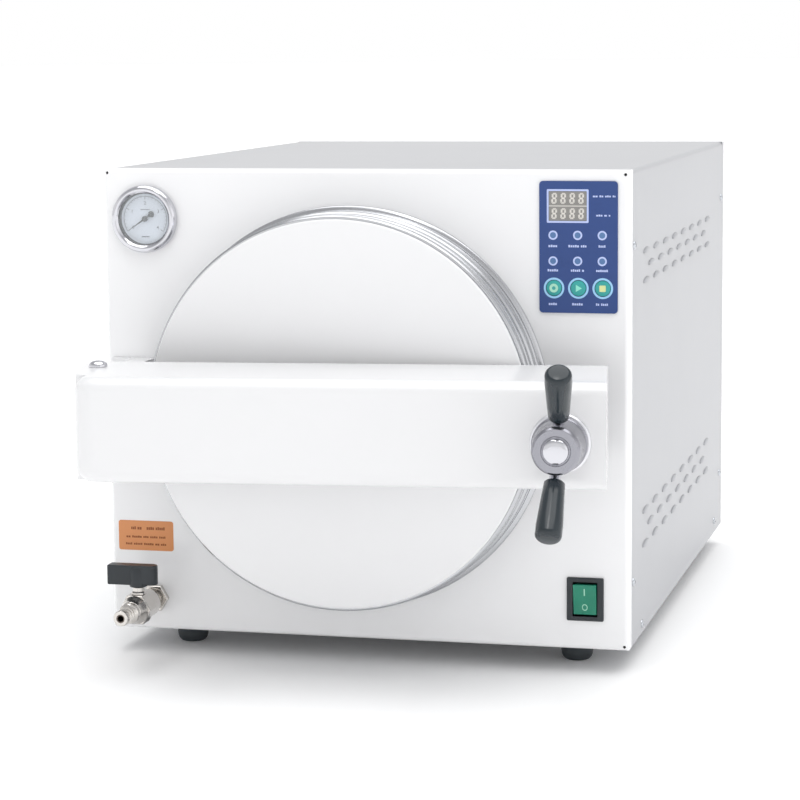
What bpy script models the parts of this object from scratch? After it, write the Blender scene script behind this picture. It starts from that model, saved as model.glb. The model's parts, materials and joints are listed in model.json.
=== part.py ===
"""Benchtop steam autoclave, 24 litres: a sheet-steel cabinet round a horizontal chamber, closed by a
round door that hangs on a hinged closing bar with a screw handle.

Everything is built in cabinet coordinates: x to the right, y to the back from the front panel, z up from
the cabinet's underside. One root empty then moves the whole machine so that the middle of its underside
is the origin. All sizes are in metres.
"""

import math

import bmesh
import bpy
from mathutils import Matrix, Vector

# Cabinet
WIDTH, DEPTH, HEIGHT = 0.450, 0.600, 0.396
SHEET = 0.0015
GAP = 0.0003
PAN_DEPTH = 0.016
PAN_RADIUS = 0.004
COVER_FRONT, COVER_BACK = PAN_DEPTH + 0.0005, DEPTH - PAN_DEPTH - 0.0005
FOOT_HEIGHT, FOOT_X, FOOT_INSET = 0.0210, 0.172, 0.056
VENT_LENGTH, VENT_HEIGHT, VENT_PITCH, VENT_START = 0.030, 0.004, 0.055, 0.074
VENT_ROWS = (0.324, 0.312, 0.299, 0.103, 0.089, 0.074)

# Chamber and door: radii, and distances in front of the front panel
AXIS_X, AXIS_Z = -0.0093, 0.1972
BORE, SHELL, DISH_START, CHAMBER_END = 0.125, 0.0025, -0.488, -0.530
FLANGE_FRONT, FLANGE_LIP, FLANGE_RADIUS = 0.0240, 0.1693, 0.1655
DOOR_BACK, DOOR_FRONT, DOOR_RADIUS, FACE_RADIUS = 0.0250, 0.0496, 0.1640, 0.1610
GASKET_IN, GASKET_OUT, GASKET_DEPTH = 0.1297, 0.1423, 0.004
JACKET_IN, JACKET_OUT, JACKET_FRONT, JACKET_BACK = 0.1282, 0.150, 0.030, 0.470

# Closing bar, in its own frame: origin at the hinge pin, x along the bar, y to the back
PIN_X, PIN_Y, BAR_YAW = -0.187, -0.123, math.radians(6)
BAR_LEFT, BAR_RIGHT, BAR_FRONT, BAR_BACK = -0.0154, 0.4141, -0.0726, 0.0354
BAR_BOTTOM, BAR_TOP, BAR_SHEET, BAR_BEND = 0.1595, 0.2430, 0.0025, 0.011
BAR_CORNER, BAR_TAIL, BAR_SLANT, BAR_END_SLANT, DOORWAY_Y = 0.021, 0.022, 0.0105, 0.006, -0.0226
PIN_RADIUS, PIN_HOLE = 0.0060, 0.0063
BALL_RADIUS, BALL_Y = 0.012, -0.157

# Screw handle, in a frame on the bar's front: z is the distance in front of the bar
SCREW_X, SCREW_Z, SPINDLE_RADIUS, SPINDLE_HOLE = 0.3791, 0.1970, 0.0070, 0.0083
SPINDLE_END = -0.106
HUB_BASE, HUB_FRONT, HUB_RADIUS, HUB_FACE = 0.0042, 0.0430, 0.0215, 0.0182
ARM_ROOT, ARM_Z, ARM_LEAN, ARM_RADIUS = 0.0130, 0.0240, math.radians(40), 0.0045
GRIP_START, GRIP_LENGTH, GRIP_THIN, GRIP_THICK = 0.0160, 0.0490, 0.0080, 0.0103
HANDLE_TURN = math.radians(-3.6)
POST_MOUTH, POST_RADIUS, SOCKET_RADIUS, SOCKET_DEPTH = -0.0935, 0.0130, 0.0088, 0.018

# Front panel fittings
GAUGE_X, GAUGE_Z, GAUGE_RADIUS, DIAL_RADIUS = -0.188, 0.354, 0.0285, 0.0223
NEEDLE_ZERO, NEEDLE_LENGTH = math.radians(214), 0.0165
KEYPAD_X, KEYPAD_Z, KEYPAD_WIDTH, KEYPAD_HEIGHT = 0.18335, 0.33375, 0.0645, 0.1073
DISPLAY_X, DISPLAY_Z, DISPLAY_WIDTH, DISPLAY_HEIGHT = 0.1746, 0.3668, 0.0334, 0.0270
BUTTON_Z, BUTTON_PITCH, BUTTON_RADIUS = 0.3004, 0.0201, 0.0063
SWITCH_X, SWITCH_Z, SWITCH_WIDTH, SWITCH_HEIGHT = 0.189, 0.0426, 0.0308, 0.0364
ROCKER_WIDTH, ROCKER_HEIGHT, ROCKER_PLAY = 0.0196, 0.0262, 0.0015
VALVE_X, VALVE_Z, VALVE_STEM_Y, VALVE_BORE = -0.186, 0.028, -0.043, 0.0040
LEVER_BOTTOM, LEVER_TOP, LEVER_LEFT, LEVER_RIGHT = 0.0480, 0.0650, -0.026, 0.017

# Rear panel fittings
INLET_X, INLET_Z = 0.150, 0.060
FUSE_X, FUSE_Z = 0.110, 0.060
SAFETY_X, SAFETY_Z = -0.120, 0.330

FORWARD = (math.pi / 2, 0, 0)  # turns local z to face the user, and local y to face up
BACKWARD = (-math.pi / 2, 0, 0)  # turns local z to face the rear


def clear_scene():
    for obj in list(bpy.data.objects):
        bpy.data.objects.remove(obj, do_unlink=True)


def material(name, colour, metallic, roughness):
    made = bpy.data.materials.new(name)
    made.use_nodes = True
    shader = made.node_tree.nodes["Principled BSDF"]
    shader.inputs["Base Color"].default_value = (*colour, 1)
    shader.inputs["Metallic"].default_value = metallic
    shader.inputs["Roughness"].default_value = roughness
    made.diffuse_color = (*colour, 1)
    return made


def empty(name, parent=None, location=(0, 0, 0), rotation=(0, 0, 0)):
    made = bpy.data.objects.new(name, None)
    made.empty_display_size = 0.02
    bpy.context.collection.objects.link(made)
    made.parent = parent
    made.location, made.rotation_euler = location, rotation
    return made


def solid(name, bm, finish, parent, location=(0, 0, 0), rotation=(0, 0, 0)):
    """Makes the object of a bmesh, shaded smooth except over its sharp edges."""
    mesh = bpy.data.meshes.new(name)
    bmesh.ops.recalc_face_normals(bm, faces=bm.faces)
    bm.to_mesh(mesh)
    bm.free()
    mesh.shade_smooth()
    mesh.set_sharp_from_angle(angle=math.radians(35))
    made = bpy.data.objects.new(name, mesh)
    bpy.context.collection.objects.link(made)
    made.parent = parent
    made.location, made.rotation_euler = location, rotation
    if finish:
        mesh.materials.append(finish)
    return made


def combine(target, bm, operation, location=(0, 0, 0), rotation=(0, 0, 0), parent=None):
    """Cuts a hidden tool out of target, or joins it on. Its place is in target's frame or in parent's."""
    tool = solid(f"{target.name}_tool", bm, None, parent or target, location, rotation)
    tool.hide_render = True
    tool.display_type = "WIRE"
    step = target.modifiers.new(operation.title(), "BOOLEAN")
    step.operation, step.object = operation, tool


def add_box(bm, low, high):
    """Adds a box between two corners, and returns its vertices."""
    low, high = Vector(low), Vector(high)
    size = Matrix.Diagonal((*(high - low), 1))
    return bmesh.ops.create_cube(bm, size=1, matrix=Matrix.Translation((low + high) / 2) @ size)["verts"]


def box(low, high, radius=0, chosen=lambda middle: True, steps=2):
    """A box whose edges are rounded where chosen(the middle of the edge) says so."""
    bm = bmesh.new()
    add_box(bm, low, high)
    if radius:
        edges = [edge for edge in bm.edges if chosen((edge.verts[0].co + edge.verts[1].co) / 2)]
        bmesh.ops.bevel(bm, geom=edges, offset=radius, affect="EDGES", segments=steps, profile=0.5)
    return bm


def arc(centre_x, centre_y, radius, start, end, steps=4):
    """Points along an arc, with its angles in degrees."""
    angles = [math.radians(start + (end - start) * i / steps) for i in range(steps + 1)]
    return [(centre_x + radius * math.cos(a), centre_y + radius * math.sin(a)) for a in angles]


def prism(outline, low, high):
    """An outline in x and y, extruded along z."""
    bm = bmesh.new()
    face = bm.faces.new([bm.verts.new((x, y, low)) for x, y in outline])
    moved = bmesh.ops.extrude_face_region(bm, geom=[face])["geom"]
    rise = Vector((0, 0, high - low))
    bmesh.ops.translate(bm, vec=rise, verts=[v for v in moved if isinstance(v, bmesh.types.BMVert)])
    return bm


def rounded_plate(width, height, radius, low, high, steps=3):
    """A flat plate with round corners, centred on the z axis."""
    x, y = width / 2 - radius, height / 2 - radius
    corners = ((x, y, 0), (-x, y, 90), (-x, -y, 180), (x, -y, 270))
    outline = [point for cx, cy, turn in corners for point in arc(cx, cy, radius, turn, turn + 90, steps)]
    return prism(outline, low, high)


def turned(profile, steps=32):
    """Turns (radius, z) points round z. A profile that doesn't end on the axis is closed into a ring."""
    bm = bmesh.new()
    points = [bm.verts.new((radius, 0, z)) for radius, z in profile]
    edges = [bm.edges.new(pair) for pair in zip(points, points[1:])]
    if profile[0][0] > 0:
        edges.append(bm.edges.new((points[-1], points[0])))
    bmesh.ops.spin(
        bm, geom=points + edges, axis=(0, 0, 1), cent=(0, 0, 0), steps=steps, angle=2 * math.pi,
        use_merge=True
    )
    bmesh.ops.remove_doubles(bm, verts=bm.verts, dist=1e-6)
    return bm


def rod(radius, low, high, steps=20):
    return turned([(0, low), (radius, low), (radius, high), (0, high)], steps)


def tube(name, points, radius, finish, parent):
    """A bent pipe as one solid: a smooth curve through the points, round in section and filled at the ends."""
    curve = bpy.data.curves.new(name, "CURVE")
    curve.dimensions, curve.bevel_depth, curve.bevel_resolution = "3D", radius, 1
    curve.use_fill_caps = True
    curve.resolution_u = 3
    line = curve.splines.new("BEZIER")
    line.bezier_points.add(len(points) - 1)
    for knot, place in zip(line.bezier_points, points):
        knot.co = place
        knot.handle_left_type = knot.handle_right_type = "AUTO"
    curve.materials.append(finish)
    made = bpy.data.objects.new(name, curve)
    bpy.context.collection.objects.link(made)
    made.parent = parent
    return made


def make_front_panel(frame, finish):
    front_edge = lambda middle: middle.y < 1e-6
    panel = solid(
        "front_panel",
        box((-WIDTH / 2, 0, 0), (WIDTH / 2, PAN_DEPTH, HEIGHT), PAN_RADIUS, front_edge, 3),
        finish,
        frame,
    )
    inner = PAN_RADIUS - SHEET
    hollow = box(
        (-WIDTH / 2 + SHEET, SHEET, SHEET),
        (WIDTH / 2 - SHEET, PAN_DEPTH + 0.01, HEIGHT - SHEET),
        inner,
        lambda middle: middle.y < SHEET + 1e-6,
        3,
    )
    combine(panel, hollow, "DIFFERENCE")
    round_holes = (
        (AXIS_X, AXIS_Z, JACKET_IN, 48),
        (GAUGE_X, GAUGE_Z, 0.0252, 32),
        (VALVE_X, VALVE_Z, 0.0070, 20),
    )
    for x, z, radius, steps in round_holes:
        combine(panel, rod(radius, -0.01, 0.01, steps), "DIFFERENCE", (x, 0, z), FORWARD)
    keypad = rounded_plate(KEYPAD_WIDTH - 0.006, KEYPAD_HEIGHT - 0.006, 0.003, -0.01, 0.01)
    combine(panel, keypad, "DIFFERENCE", (KEYPAD_X, 0, KEYPAD_Z), FORWARD)
    switch = rounded_plate(SWITCH_WIDTH - 0.004, SWITCH_HEIGHT - 0.004, 0.001, -0.01, 0.01)
    combine(panel, switch, "DIFFERENCE", (SWITCH_X, 0, SWITCH_Z), FORWARD)


def make_wrap_cover(frame, finish):
    """Roof and sides in one folded sheet, with staggered rows of vent slots in both sides."""
    top_edge = lambda middle: middle.z > HEIGHT - 1e-6 and abs(middle.x) > WIDTH / 2 - 1e-6
    low, high = (-WIDTH / 2, COVER_FRONT, 0), (WIDTH / 2, COVER_BACK, HEIGHT)
    cover = solid("wrap_cover", box(low, high, PAN_RADIUS, top_edge, 3), finish, frame)
    inner_low = (-WIDTH / 2 + SHEET, COVER_FRONT - 0.01, -0.01)
    inner_high = (WIDTH / 2 - SHEET, COVER_BACK + 0.01, HEIGHT - SHEET)
    inner_edge = lambda middle: middle.z > HEIGHT - SHEET - 1e-6 and abs(middle.x) > WIDTH / 4
    hollow = box(inner_low, inner_high, PAN_RADIUS - SHEET, inner_edge, 3)
    combine(cover, hollow, "DIFFERENCE")
    slots = bmesh.new()
    for row, z in enumerate(VENT_ROWS):
        staggered = row % 3 == 1
        start = VENT_START + (VENT_PITCH / 2 if staggered else 0)
        for i in range(7 if staggered else 8):
            y = start + VENT_PITCH * i
            low = (-WIDTH / 2 - 0.01, y, z - VENT_HEIGHT / 2)
            add_box(slots, low, (WIDTH / 2 + 0.01, y + VENT_LENGTH, z + VENT_HEIGHT / 2))
    combine(cover, slots, "DIFFERENCE")


def make_base_and_rear(frame, finish):
    side = WIDTH / 2 - SHEET - GAP
    pan = solid("base_pan", box((-side, COVER_FRONT, 0), (side, COVER_BACK, 0.022)), finish, frame)
    hollow = box((-side + SHEET, COVER_FRONT + SHEET, SHEET), (side - SHEET, COVER_BACK - SHEET, 0.03))
    combine(pan, hollow, "DIFFERENCE")
    drain_notch = box((VALVE_X - 0.012, COVER_FRONT - 0.01, 0.016),
        (VALVE_X + 0.012, COVER_FRONT + 0.01, 0.04))
    combine(pan, drain_notch, "DIFFERENCE")
    rear_edge = lambda middle: middle.y > DEPTH - 1e-6
    rear = solid(
        "rear_panel",
        box((-WIDTH / 2, DEPTH - PAN_DEPTH, 0), (WIDTH / 2, DEPTH, HEIGHT), PAN_RADIUS, rear_edge, 3),
        finish,
        frame,
    )
    hollow = box(
        (-WIDTH / 2 + SHEET, DEPTH - PAN_DEPTH - 0.01, SHEET),
        (WIDTH / 2 - SHEET, DEPTH - SHEET, HEIGHT - SHEET),
        PAN_RADIUS - SHEET,
        lambda middle: middle.y > DEPTH - SHEET - 1e-6,
        3,
    )
    combine(rear, hollow, "DIFFERENCE")
    through = (DEPTH - 0.01, DEPTH + 0.01)
    inlet = box((INLET_X - 0.0138, through[0], INLET_Z - 0.0103),
        (INLET_X + 0.0138, through[1], INLET_Z + 0.0103))
    combine(rear, inlet, "DIFFERENCE")
    for x, z, radius in ((FUSE_X, FUSE_Z, 0.0065), (SAFETY_X, SAFETY_Z, 0.0085)):
        combine(rear, rod(radius, -0.01, 0.01), "DIFFERENCE", (x, DEPTH, z), FORWARD)


def make_feet(frame, finish):
    """Moulded rubber feet: a flat flange against the base, and a round pad under it."""
    profile = [
        (0, -GAP), (0.0165, -GAP), (0.0165, -0.0060), (0.0130, -0.0085), (0.0135, -0.0140),
        (0.0125, -0.0180), (0.0100, -FOOT_HEIGHT), (0, -FOOT_HEIGHT),
    ]
    places = (
        ("foot_front_left", -FOOT_X, FOOT_INSET),
        ("foot_front_right", FOOT_X, FOOT_INSET),
        ("foot_rear_left", -FOOT_X, DEPTH - FOOT_INSET),
        ("foot_rear_right", FOOT_X, DEPTH - FOOT_INSET),
    )
    for name, x, y in places:
        solid(name, turned(profile, 16), finish, frame, (x, y, 0))


def make_chamber(frame, steel, wool):
    axis = (AXIS_X, 0, AXIS_Z)
    outer = BORE + SHELL
    mouth = FLANGE_FRONT - GAP
    chamber = [
        (0, CHAMBER_END + SHELL), (0.060, CHAMBER_END + 0.0065), (0.105, CHAMBER_END + 0.021),
        (BORE, DISH_START),
        (BORE, mouth), (outer, mouth), (outer, DISH_START), (0.107, CHAMBER_END + 0.019),
        (0.061, CHAMBER_END + 0.004), (0, CHAMBER_END),
    ]
    solid("chamber", turned(chamber, 32), steel, frame, axis, FORWARD)
    flange = [
        (outer + GAP, GAP), (FLANGE_LIP, GAP), (FLANGE_LIP, 0.0028), (FLANGE_RADIUS, 0.0045),
        (FLANGE_RADIUS, FLANGE_FRONT - 0.0015), (FLANGE_RADIUS - 0.0015, FLANGE_FRONT),
        (outer + GAP, FLANGE_FRONT),
    ]
    solid("chamber_flange", turned(flange, 32), steel, frame, axis, FORWARD)
    jacket = [(JACKET_IN, -JACKET_BACK), (JACKET_OUT, -JACKET_BACK), (JACKET_OUT, -JACKET_FRONT),
        (JACKET_IN, -JACKET_FRONT)]
    solid("insulation_jacket", turned(jacket, 32), wool, frame, axis, FORWARD)


def make_saddles(frame, finish):
    """Two upright plates that carry the chamber on the base pan."""
    reach, top = JACKET_OUT + GAP, AXIS_Z - 0.050
    for name, y in (("front_saddle", 0.090), ("rear_saddle", 0.400)):
        low, high = (AXIS_X - 0.150, y, SHEET + GAP), (AXIS_X + 0.150, y + 0.004, top)
        saddle = solid(name, box(low, high), finish, frame)
        foot_high = (AXIS_X + 0.150, y + 0.030, 0.005)
        combine(saddle, box(low, foot_high), "UNION")
        combine(saddle, rod(reach, -0.05, 0.05, 32), "DIFFERENCE", (AXIS_X, y, AXIS_Z), FORWARD)


def make_chamber_contents(frame, steel, dark):
    """Heating element on the chamber's floor, its guard plate, and a rack with three trays."""
    floor = AXIS_Z - 0.106
    loop = [
        (AXIS_X - 0.022, 0.480, floor), (AXIS_X - 0.022, 0.100, floor), (AXIS_X - 0.020, 0.070, floor),
        (AXIS_X, 0.058, floor), (AXIS_X + 0.020, 0.070, floor), (AXIS_X + 0.022, 0.100, floor),
        (AXIS_X + 0.022, 0.480, floor),
    ]
    tube("heating_element", loop, 0.004, dark, frame)
    guard_z = AXIS_Z - 0.092
    solid("heater_guard", box((AXIS_X - 0.080, 0.030, guard_z),
        (AXIS_X + 0.080, 0.470, guard_z + 0.0015)), steel, frame)
    half, rack_low, rack_high = 0.084, AXIS_Z - 0.075, AXIS_Z + 0.062
    rack = solid("tray_rack", box((AXIS_X - half, 0.030, rack_low), (AXIS_X + half, 0.450, rack_high)),
        steel, frame)
    inside = box(
        (AXIS_X - half + 0.002, 0.0, rack_low + 0.002),
        (AXIS_X + half - 0.002, 0.500, rack_high + 0.01),
    )
    combine(rack, inside, "DIFFERENCE")
    for level in (0.045, 0.090):
        for side in (-1, 1):
            edge, tip = sorted((side * (half - 0.001), side * (half - 0.010)))
            ledge = box((AXIS_X + edge, 0.030, rack_low + level),
                (AXIS_X + tip, 0.450, rack_low + level + 0.0015))
            combine(rack, ledge, "UNION")
    for name, z in (("tray_lower", 0.0025), ("tray_middle", 0.0470), ("tray_upper", 0.0920)):
        low = (AXIS_X - 0.079, 0.036, rack_low + z)
        high = (AXIS_X + 0.079, 0.444, rack_low + z + 0.018)
        tray = solid(name, box(low, high, 0.004, lambda middle: abs(middle.z - rack_low - z) < 1e-6),
            steel, frame)
        tray_low = (low[0] + 0.001, low[1] + 0.001, low[2] + 0.001)
        pocket = box(tray_low, (high[0] - 0.001, high[1] - 0.001, high[2] + 0.01), 0.003,
                     lambda middle: abs(middle.z - tray_low[2]) < 1e-6)
        combine(tray, pocket, "DIFFERENCE")


def make_door(hinge, white, steel, rubber):
    """The round door, in the hinge's frame: a steel dish with its gasket, a white face and the pivot ball."""
    axis = (AXIS_X - PIN_X, -PIN_Y, AXIS_Z)
    hollow = DOOR_RADIUS - 0.008
    dish = [
        (0, DOOR_BACK), (GASKET_IN, DOOR_BACK), (GASKET_IN, DOOR_BACK + GASKET_DEPTH),
        (GASKET_OUT, DOOR_BACK + GASKET_DEPTH), (GASKET_OUT, DOOR_BACK), (DOOR_RADIUS - 0.0015, DOOR_BACK),
        (DOOR_RADIUS, DOOR_BACK + 0.0015), (DOOR_RADIUS, 0.0440), (DOOR_RADIUS - 0.0012, 0.0452),
        (hollow, 0.0452), (hollow, 0.0330), (0, 0.0330),
    ]
    solid("door_dish", turned(dish, 32), steel, hinge, axis, FORWARD)
    gasket = [
        (GASKET_IN + GAP, FLANGE_FRONT + GAP), (GASKET_OUT - GAP, FLANGE_FRONT + GAP),
        (GASKET_OUT - GAP, DOOR_BACK + GASKET_DEPTH - GAP),
        (GASKET_IN + GAP, DOOR_BACK + GASKET_DEPTH - GAP),
    ]
    solid("door_gasket", turned(gasket, 32), rubber, hinge, axis, FORWARD)
    face = [
        (0, 0.0455), (FACE_RADIUS - 0.002, 0.0455), (FACE_RADIUS, 0.0470),
        (FACE_RADIUS, DOOR_FRONT - 0.0012),
        (FACE_RADIUS - 0.0012, DOOR_FRONT), (0, DOOR_FRONT),
    ]
    solid("door_face", turned(face, 32), white, hinge, axis, FORWARD)
    ball = arc(0, -BALL_Y, BALL_RADIUS, -45, 90, 8)
    pivot = [
        (0, DOOR_FRONT + GAP), (0.030, DOOR_FRONT + GAP), (0.030, 0.0560), (0.010, 0.0600), *ball[:-1],
        (0, -BALL_Y + BALL_RADIUS),
    ]
    solid("door_pivot", turned(pivot, 16), steel, hinge, axis, FORWARD)


def bar_skin():
    """The bar's outer sheet: front, flanges and right end, round at the hinge and open at the back."""
    outline = arc(BAR_LEFT + BAR_SLANT + BAR_CORNER, BAR_FRONT + BAR_CORNER, BAR_CORNER, 270, 180, 5)
    along = (DOORWAY_Y - BAR_FRONT - BAR_CORNER) / (BAR_BACK - BAR_TAIL - BAR_FRONT - BAR_CORNER)
    outline.append((BAR_LEFT + BAR_SLANT * (1 - along), DOORWAY_Y))
    outline += arc(BAR_LEFT + BAR_TAIL, BAR_BACK - BAR_TAIL, BAR_TAIL, 180, 90, 5)
    outline += [(BAR_RIGHT - BAR_END_SLANT, BAR_BACK), (BAR_RIGHT, BAR_FRONT)]
    bm = prism(outline, BAR_BOTTOM, BAR_TOP)
    bmesh.ops.recalc_face_normals(bm, faces=bm.faces)
    middles = [(face, face.calc_center_median()) for face in bm.faces if abs(face.normal.z) < 0.5]
    open_sides = [face for face, at in middles if at.y > DOORWAY_Y and at.x < BAR_RIGHT - BAR_END_SLANT]
    bmesh.ops.delete(bm, geom=open_sides, context="FACES")
    round_end = BAR_FRONT + BAR_CORNER + 1e-6
    level = [edge for edge in bm.edges if abs(edge.verts[0].co.z - edge.verts[1].co.z) < 1e-6]
    bends = [edge for edge in level if all(vert.co.y < round_end for vert in edge.verts)]
    bmesh.ops.bevel(bm, geom=bends, offset=BAR_BEND, affect="EDGES", segments=4, profile=0.5)
    return bm


def make_closing_bar(bar, white):
    body = solid("closing_bar", bar_skin(), white, bar)
    sheet = body.modifiers.new("Sheet", "SOLIDIFY")
    sheet.thickness, sheet.offset, sheet.use_even_offset = BAR_SHEET, -1, True
    combine(body, rod(PIN_HOLE, 0.1, 0.3, 20), "DIFFERENCE")
    combine(body, rod(SPINDLE_HOLE, -0.01, 0.01, 16), "DIFFERENCE", (SCREW_X, BAR_FRONT, SCREW_Z), FORWARD)


def make_hinge(frame, hinge, white, steel):
    """The bracket is fixed to the front panel, and the pin turns with the bar."""
    reach, plate, arm_right, arm_left = 0.012, 0.005, 0.006, -0.012
    tip = arc(0, 0, reach, 330, 180, 8)
    outline = [(arm_right, -PIN_Y - GAP), (arm_right, 0.012), *tip, (arm_left, -PIN_Y - GAP)]
    bracket = solid("hinge_bracket", prism(outline, 0.1650, 0.2360), white, frame, (PIN_X, PIN_Y, 0))
    base = box((-0.032, -PIN_Y - plate, 0.1300), (arm_right, -PIN_Y - GAP, 0.2360))
    combine(bracket, base, "UNION")
    combine(bracket, rod(PIN_RADIUS + 0.0004, 0.1, 0.3, 20), "DIFFERENCE")
    head_low = BAR_TOP + GAP
    pin = [
        (0, BAR_BOTTOM - 0.004), (PIN_RADIUS, BAR_BOTTOM - 0.004), (PIN_RADIUS, head_low),
        (0.0075, head_low),
        (0.0075, head_low + 0.0020), (0.0055, head_low + 0.0042), (0, head_low + 0.0050),
    ]
    solid("hinge_pin", turned(pin, 20), steel, hinge)


def make_bar_fittings(bar, steel, dark):
    """The socket that the door's ball sits in, and the two pieces that guide the screw."""
    ball = Matrix.Rotation(-BAR_YAW, 3, "Z") @ Vector((AXIS_X - PIN_X, BALL_Y - PIN_Y, 0))
    floor, face = BAR_FRONT + BAR_SHEET + GAP, ball.y + 0.002
    recess = BALL_RADIUS + 0.0004
    start = math.degrees(math.asin((face - ball.y) / recess))
    bowl = arc(0, ball.y, recess, -90, start, 7)
    socket = [(0, floor), (0.020, floor), (0.020, face), (bowl[-1][0], face), *reversed(bowl[1:-1]),
        (0, bowl[0][1])]
    solid("pivot_socket", turned(socket, 16), steel, bar, (ball.x, 0, AXIS_Z), BACKWARD)
    screw = (SCREW_X, BAR_FRONT, SCREW_Z)
    disc = [(SPINDLE_HOLE, GAP), (0.0235, GAP), (0.0235, 0.0028), (0.0225, 0.0038), (SPINDLE_HOLE, 0.0038)]
    solid("thrust_disc", turned(disc, 24), steel, bar, screw, FORWARD)
    behind = -BAR_SHEET - GAP
    nut = [(SPINDLE_HOLE, behind), (SPINDLE_HOLE, behind - 0.022), (0.013, behind - 0.022),
        (0.013, behind - 0.004),
           (0.019, behind - 0.004), (0.019, behind)]
    solid("spindle_nut", turned(nut, 16), dark, bar, screw, FORWARD)


def make_handle(screw, steel, chrome, black):
    """Spindle, hub with its two arms, cap and grips. z is forward, y is up."""
    spindle = [
        (0, SPINDLE_END), (SPINDLE_RADIUS - 0.002, SPINDLE_END), (SPINDLE_RADIUS, SPINDLE_END + 0.002),
        (SPINDLE_RADIUS, 0.030), (0, 0.030),
    ]
    solid("spindle", turned(spindle, 16), steel, screw)
    bore = SPINDLE_RADIUS + GAP
    hub_profile = [
        (bore, HUB_BASE), (HUB_RADIUS, HUB_BASE), (HUB_RADIUS, 0.0110), (HUB_RADIUS - 0.001, 0.0120),
        (HUB_FACE, HUB_FRONT - 0.0012), (HUB_FACE - 0.0012, HUB_FRONT), (0, HUB_FRONT), (0, 0.0303),
        (bore, 0.0303),
    ]
    hub_profile = hub_profile[7:] + hub_profile[:7]
    hub = solid("handle_hub", turned(hub_profile, 24), chrome, screw, (0, 0, 0), (0, 0, HANDLE_TURN))
    cap = [
        (0, HUB_FRONT + GAP), (0.0098, HUB_FRONT + GAP), (0.0098, HUB_FRONT + 0.0016),
        (0.0080, HUB_FRONT + 0.0030), (0, HUB_FRONT + 0.0036),
    ]
    solid("hub_cap", turned(cap, 16), chrome, screw)
    arm_end = GRIP_START + 0.0340
    grip = [
        (0, GRIP_START + 0.0345), (ARM_RADIUS + GAP, GRIP_START + 0.0345), (ARM_RADIUS + GAP, GRIP_START),
        (GRIP_THIN, GRIP_START), (GRIP_THICK, GRIP_START + GRIP_LENGTH - 0.014),
        (GRIP_THICK - 0.0004, GRIP_START + GRIP_LENGTH - 0.007),
        (GRIP_THICK - 0.0025, GRIP_START + GRIP_LENGTH - 0.002),
        (GRIP_THICK - 0.0055, GRIP_START + GRIP_LENGTH), (0, GRIP_START + GRIP_LENGTH),
    ]
    for name, side in (("upper_grip", 1), ("lower_grip", -1)):
        lean = Matrix.Rotation(-side * (math.pi / 2 - ARM_LEAN), 4, "X")
        turn = Matrix.Rotation(HANDLE_TURN, 4, "Z")
        root = Matrix.Translation((0, side * ARM_ROOT, ARM_Z))
        arm = turned([(0, -0.0015), (ARM_RADIUS, -0.0015), (ARM_RADIUS, arm_end), (0, arm_end)], 12)
        combine(hub, arm, "UNION", (0, side * ARM_ROOT, ARM_Z), lean.to_euler())
        place = turn @ root @ lean
        solid(name, turned(grip, 16), black, screw, place.to_translation(), place.to_euler())


def make_catch(frame, catch, steel):
    """The post that the spindle's end enters, square on the panel and turned to meet the bar's screw."""
    post = solid("catch_post", rod(POST_RADIUS, POST_MOUTH - 0.050, POST_MOUTH, 20), steel, catch)
    combine(post, rod(SOCKET_RADIUS, POST_MOUTH - SOCKET_DEPTH, POST_MOUTH + 0.01, 20), "DIFFERENCE")
    foot = bar_point(SCREW_X, BAR_FRONT + 0.1564)
    base = turned([(0, GAP), (0.0165, GAP), (0.0165, 0.0080), (0.0130, 0.0160), (0, 0.0160)], 20)
    combine(post, base, "UNION", (foot.x, 0, SCREW_Z), FORWARD, frame)


def bar_point(x, y):
    """A point of the closed bar's frame, in cabinet coordinates."""
    return Matrix.Rotation(BAR_YAW, 3, "Z") @ Vector((x, y, 0)) + Vector((PIN_X, PIN_Y, 0))


def make_gauge(frame, needle_axis, finishes):
    """Pressure gauge: z is forward of the front panel."""
    centre = (GAUGE_X, 0, GAUGE_Z)
    case = [(0, -0.0240), (0.0248, -0.0240), (0.0248, 0.0030), (0.0235, 0.0030), (0.0235, -0.0225),
        (0, -0.0225)]
    solid("gauge_case", turned(case, 24), finishes["dark"], frame, centre, FORWARD)
    bezel = [
        (0.0251, GAP), (GAUGE_RADIUS, GAP), (GAUGE_RADIUS, 0.0050), (GAUGE_RADIUS - 0.0015, 0.0072),
        (GAUGE_RADIUS - 0.0035, 0.0080), (DIAL_RADIUS + 0.001, 0.0072), (DIAL_RADIUS, 0.0062),
        (0.0240, 0.0062), (0.0240, 0.0034), (0.0251, 0.0034),
    ]
    solid("gauge_bezel", turned(bezel, 28), finishes["chrome"], frame, centre, FORWARD)
    dial = [(0.0014, -0.0003), (0.0231, -0.0003), (0.0231, 0.0005), (0.0014, 0.0005)]
    solid("gauge_dial", turned(dial, 24), finishes["dial"], frame, centre, FORWARD)
    glass = [(0, 0.0044), (0.0237, 0.0044), (0.0237, 0.0059), (0, 0.0059)]
    solid("gauge_glass", turned(glass, 24), finishes["glass"], frame, centre, FORWARD)
    pointer = [
        (NEEDLE_LENGTH, 0), (0.002, 0.0009), (-0.0035, 0.0009), (-0.0055, 0.0026), (-0.0085, 0.0030),
        (-0.0085, -0.0030), (-0.0055, -0.0026), (-0.0035, -0.0009), (0.002, -0.0009),
    ]
    needle = solid("gauge_needle", prism(pointer, 0.0022, 0.0028), finishes["dark"], needle_axis,
        (0, 0, 0), (0, 0, NEEDLE_ZERO))
    combine(needle, turned([(0, 0.0018), (0.0025, 0.0018), (0.0025, 0.0032), (0, 0.0032)], 16), "UNION")
    combine(needle, rod(0.0008, -0.0015, 0.0025, 12), "UNION")


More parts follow.
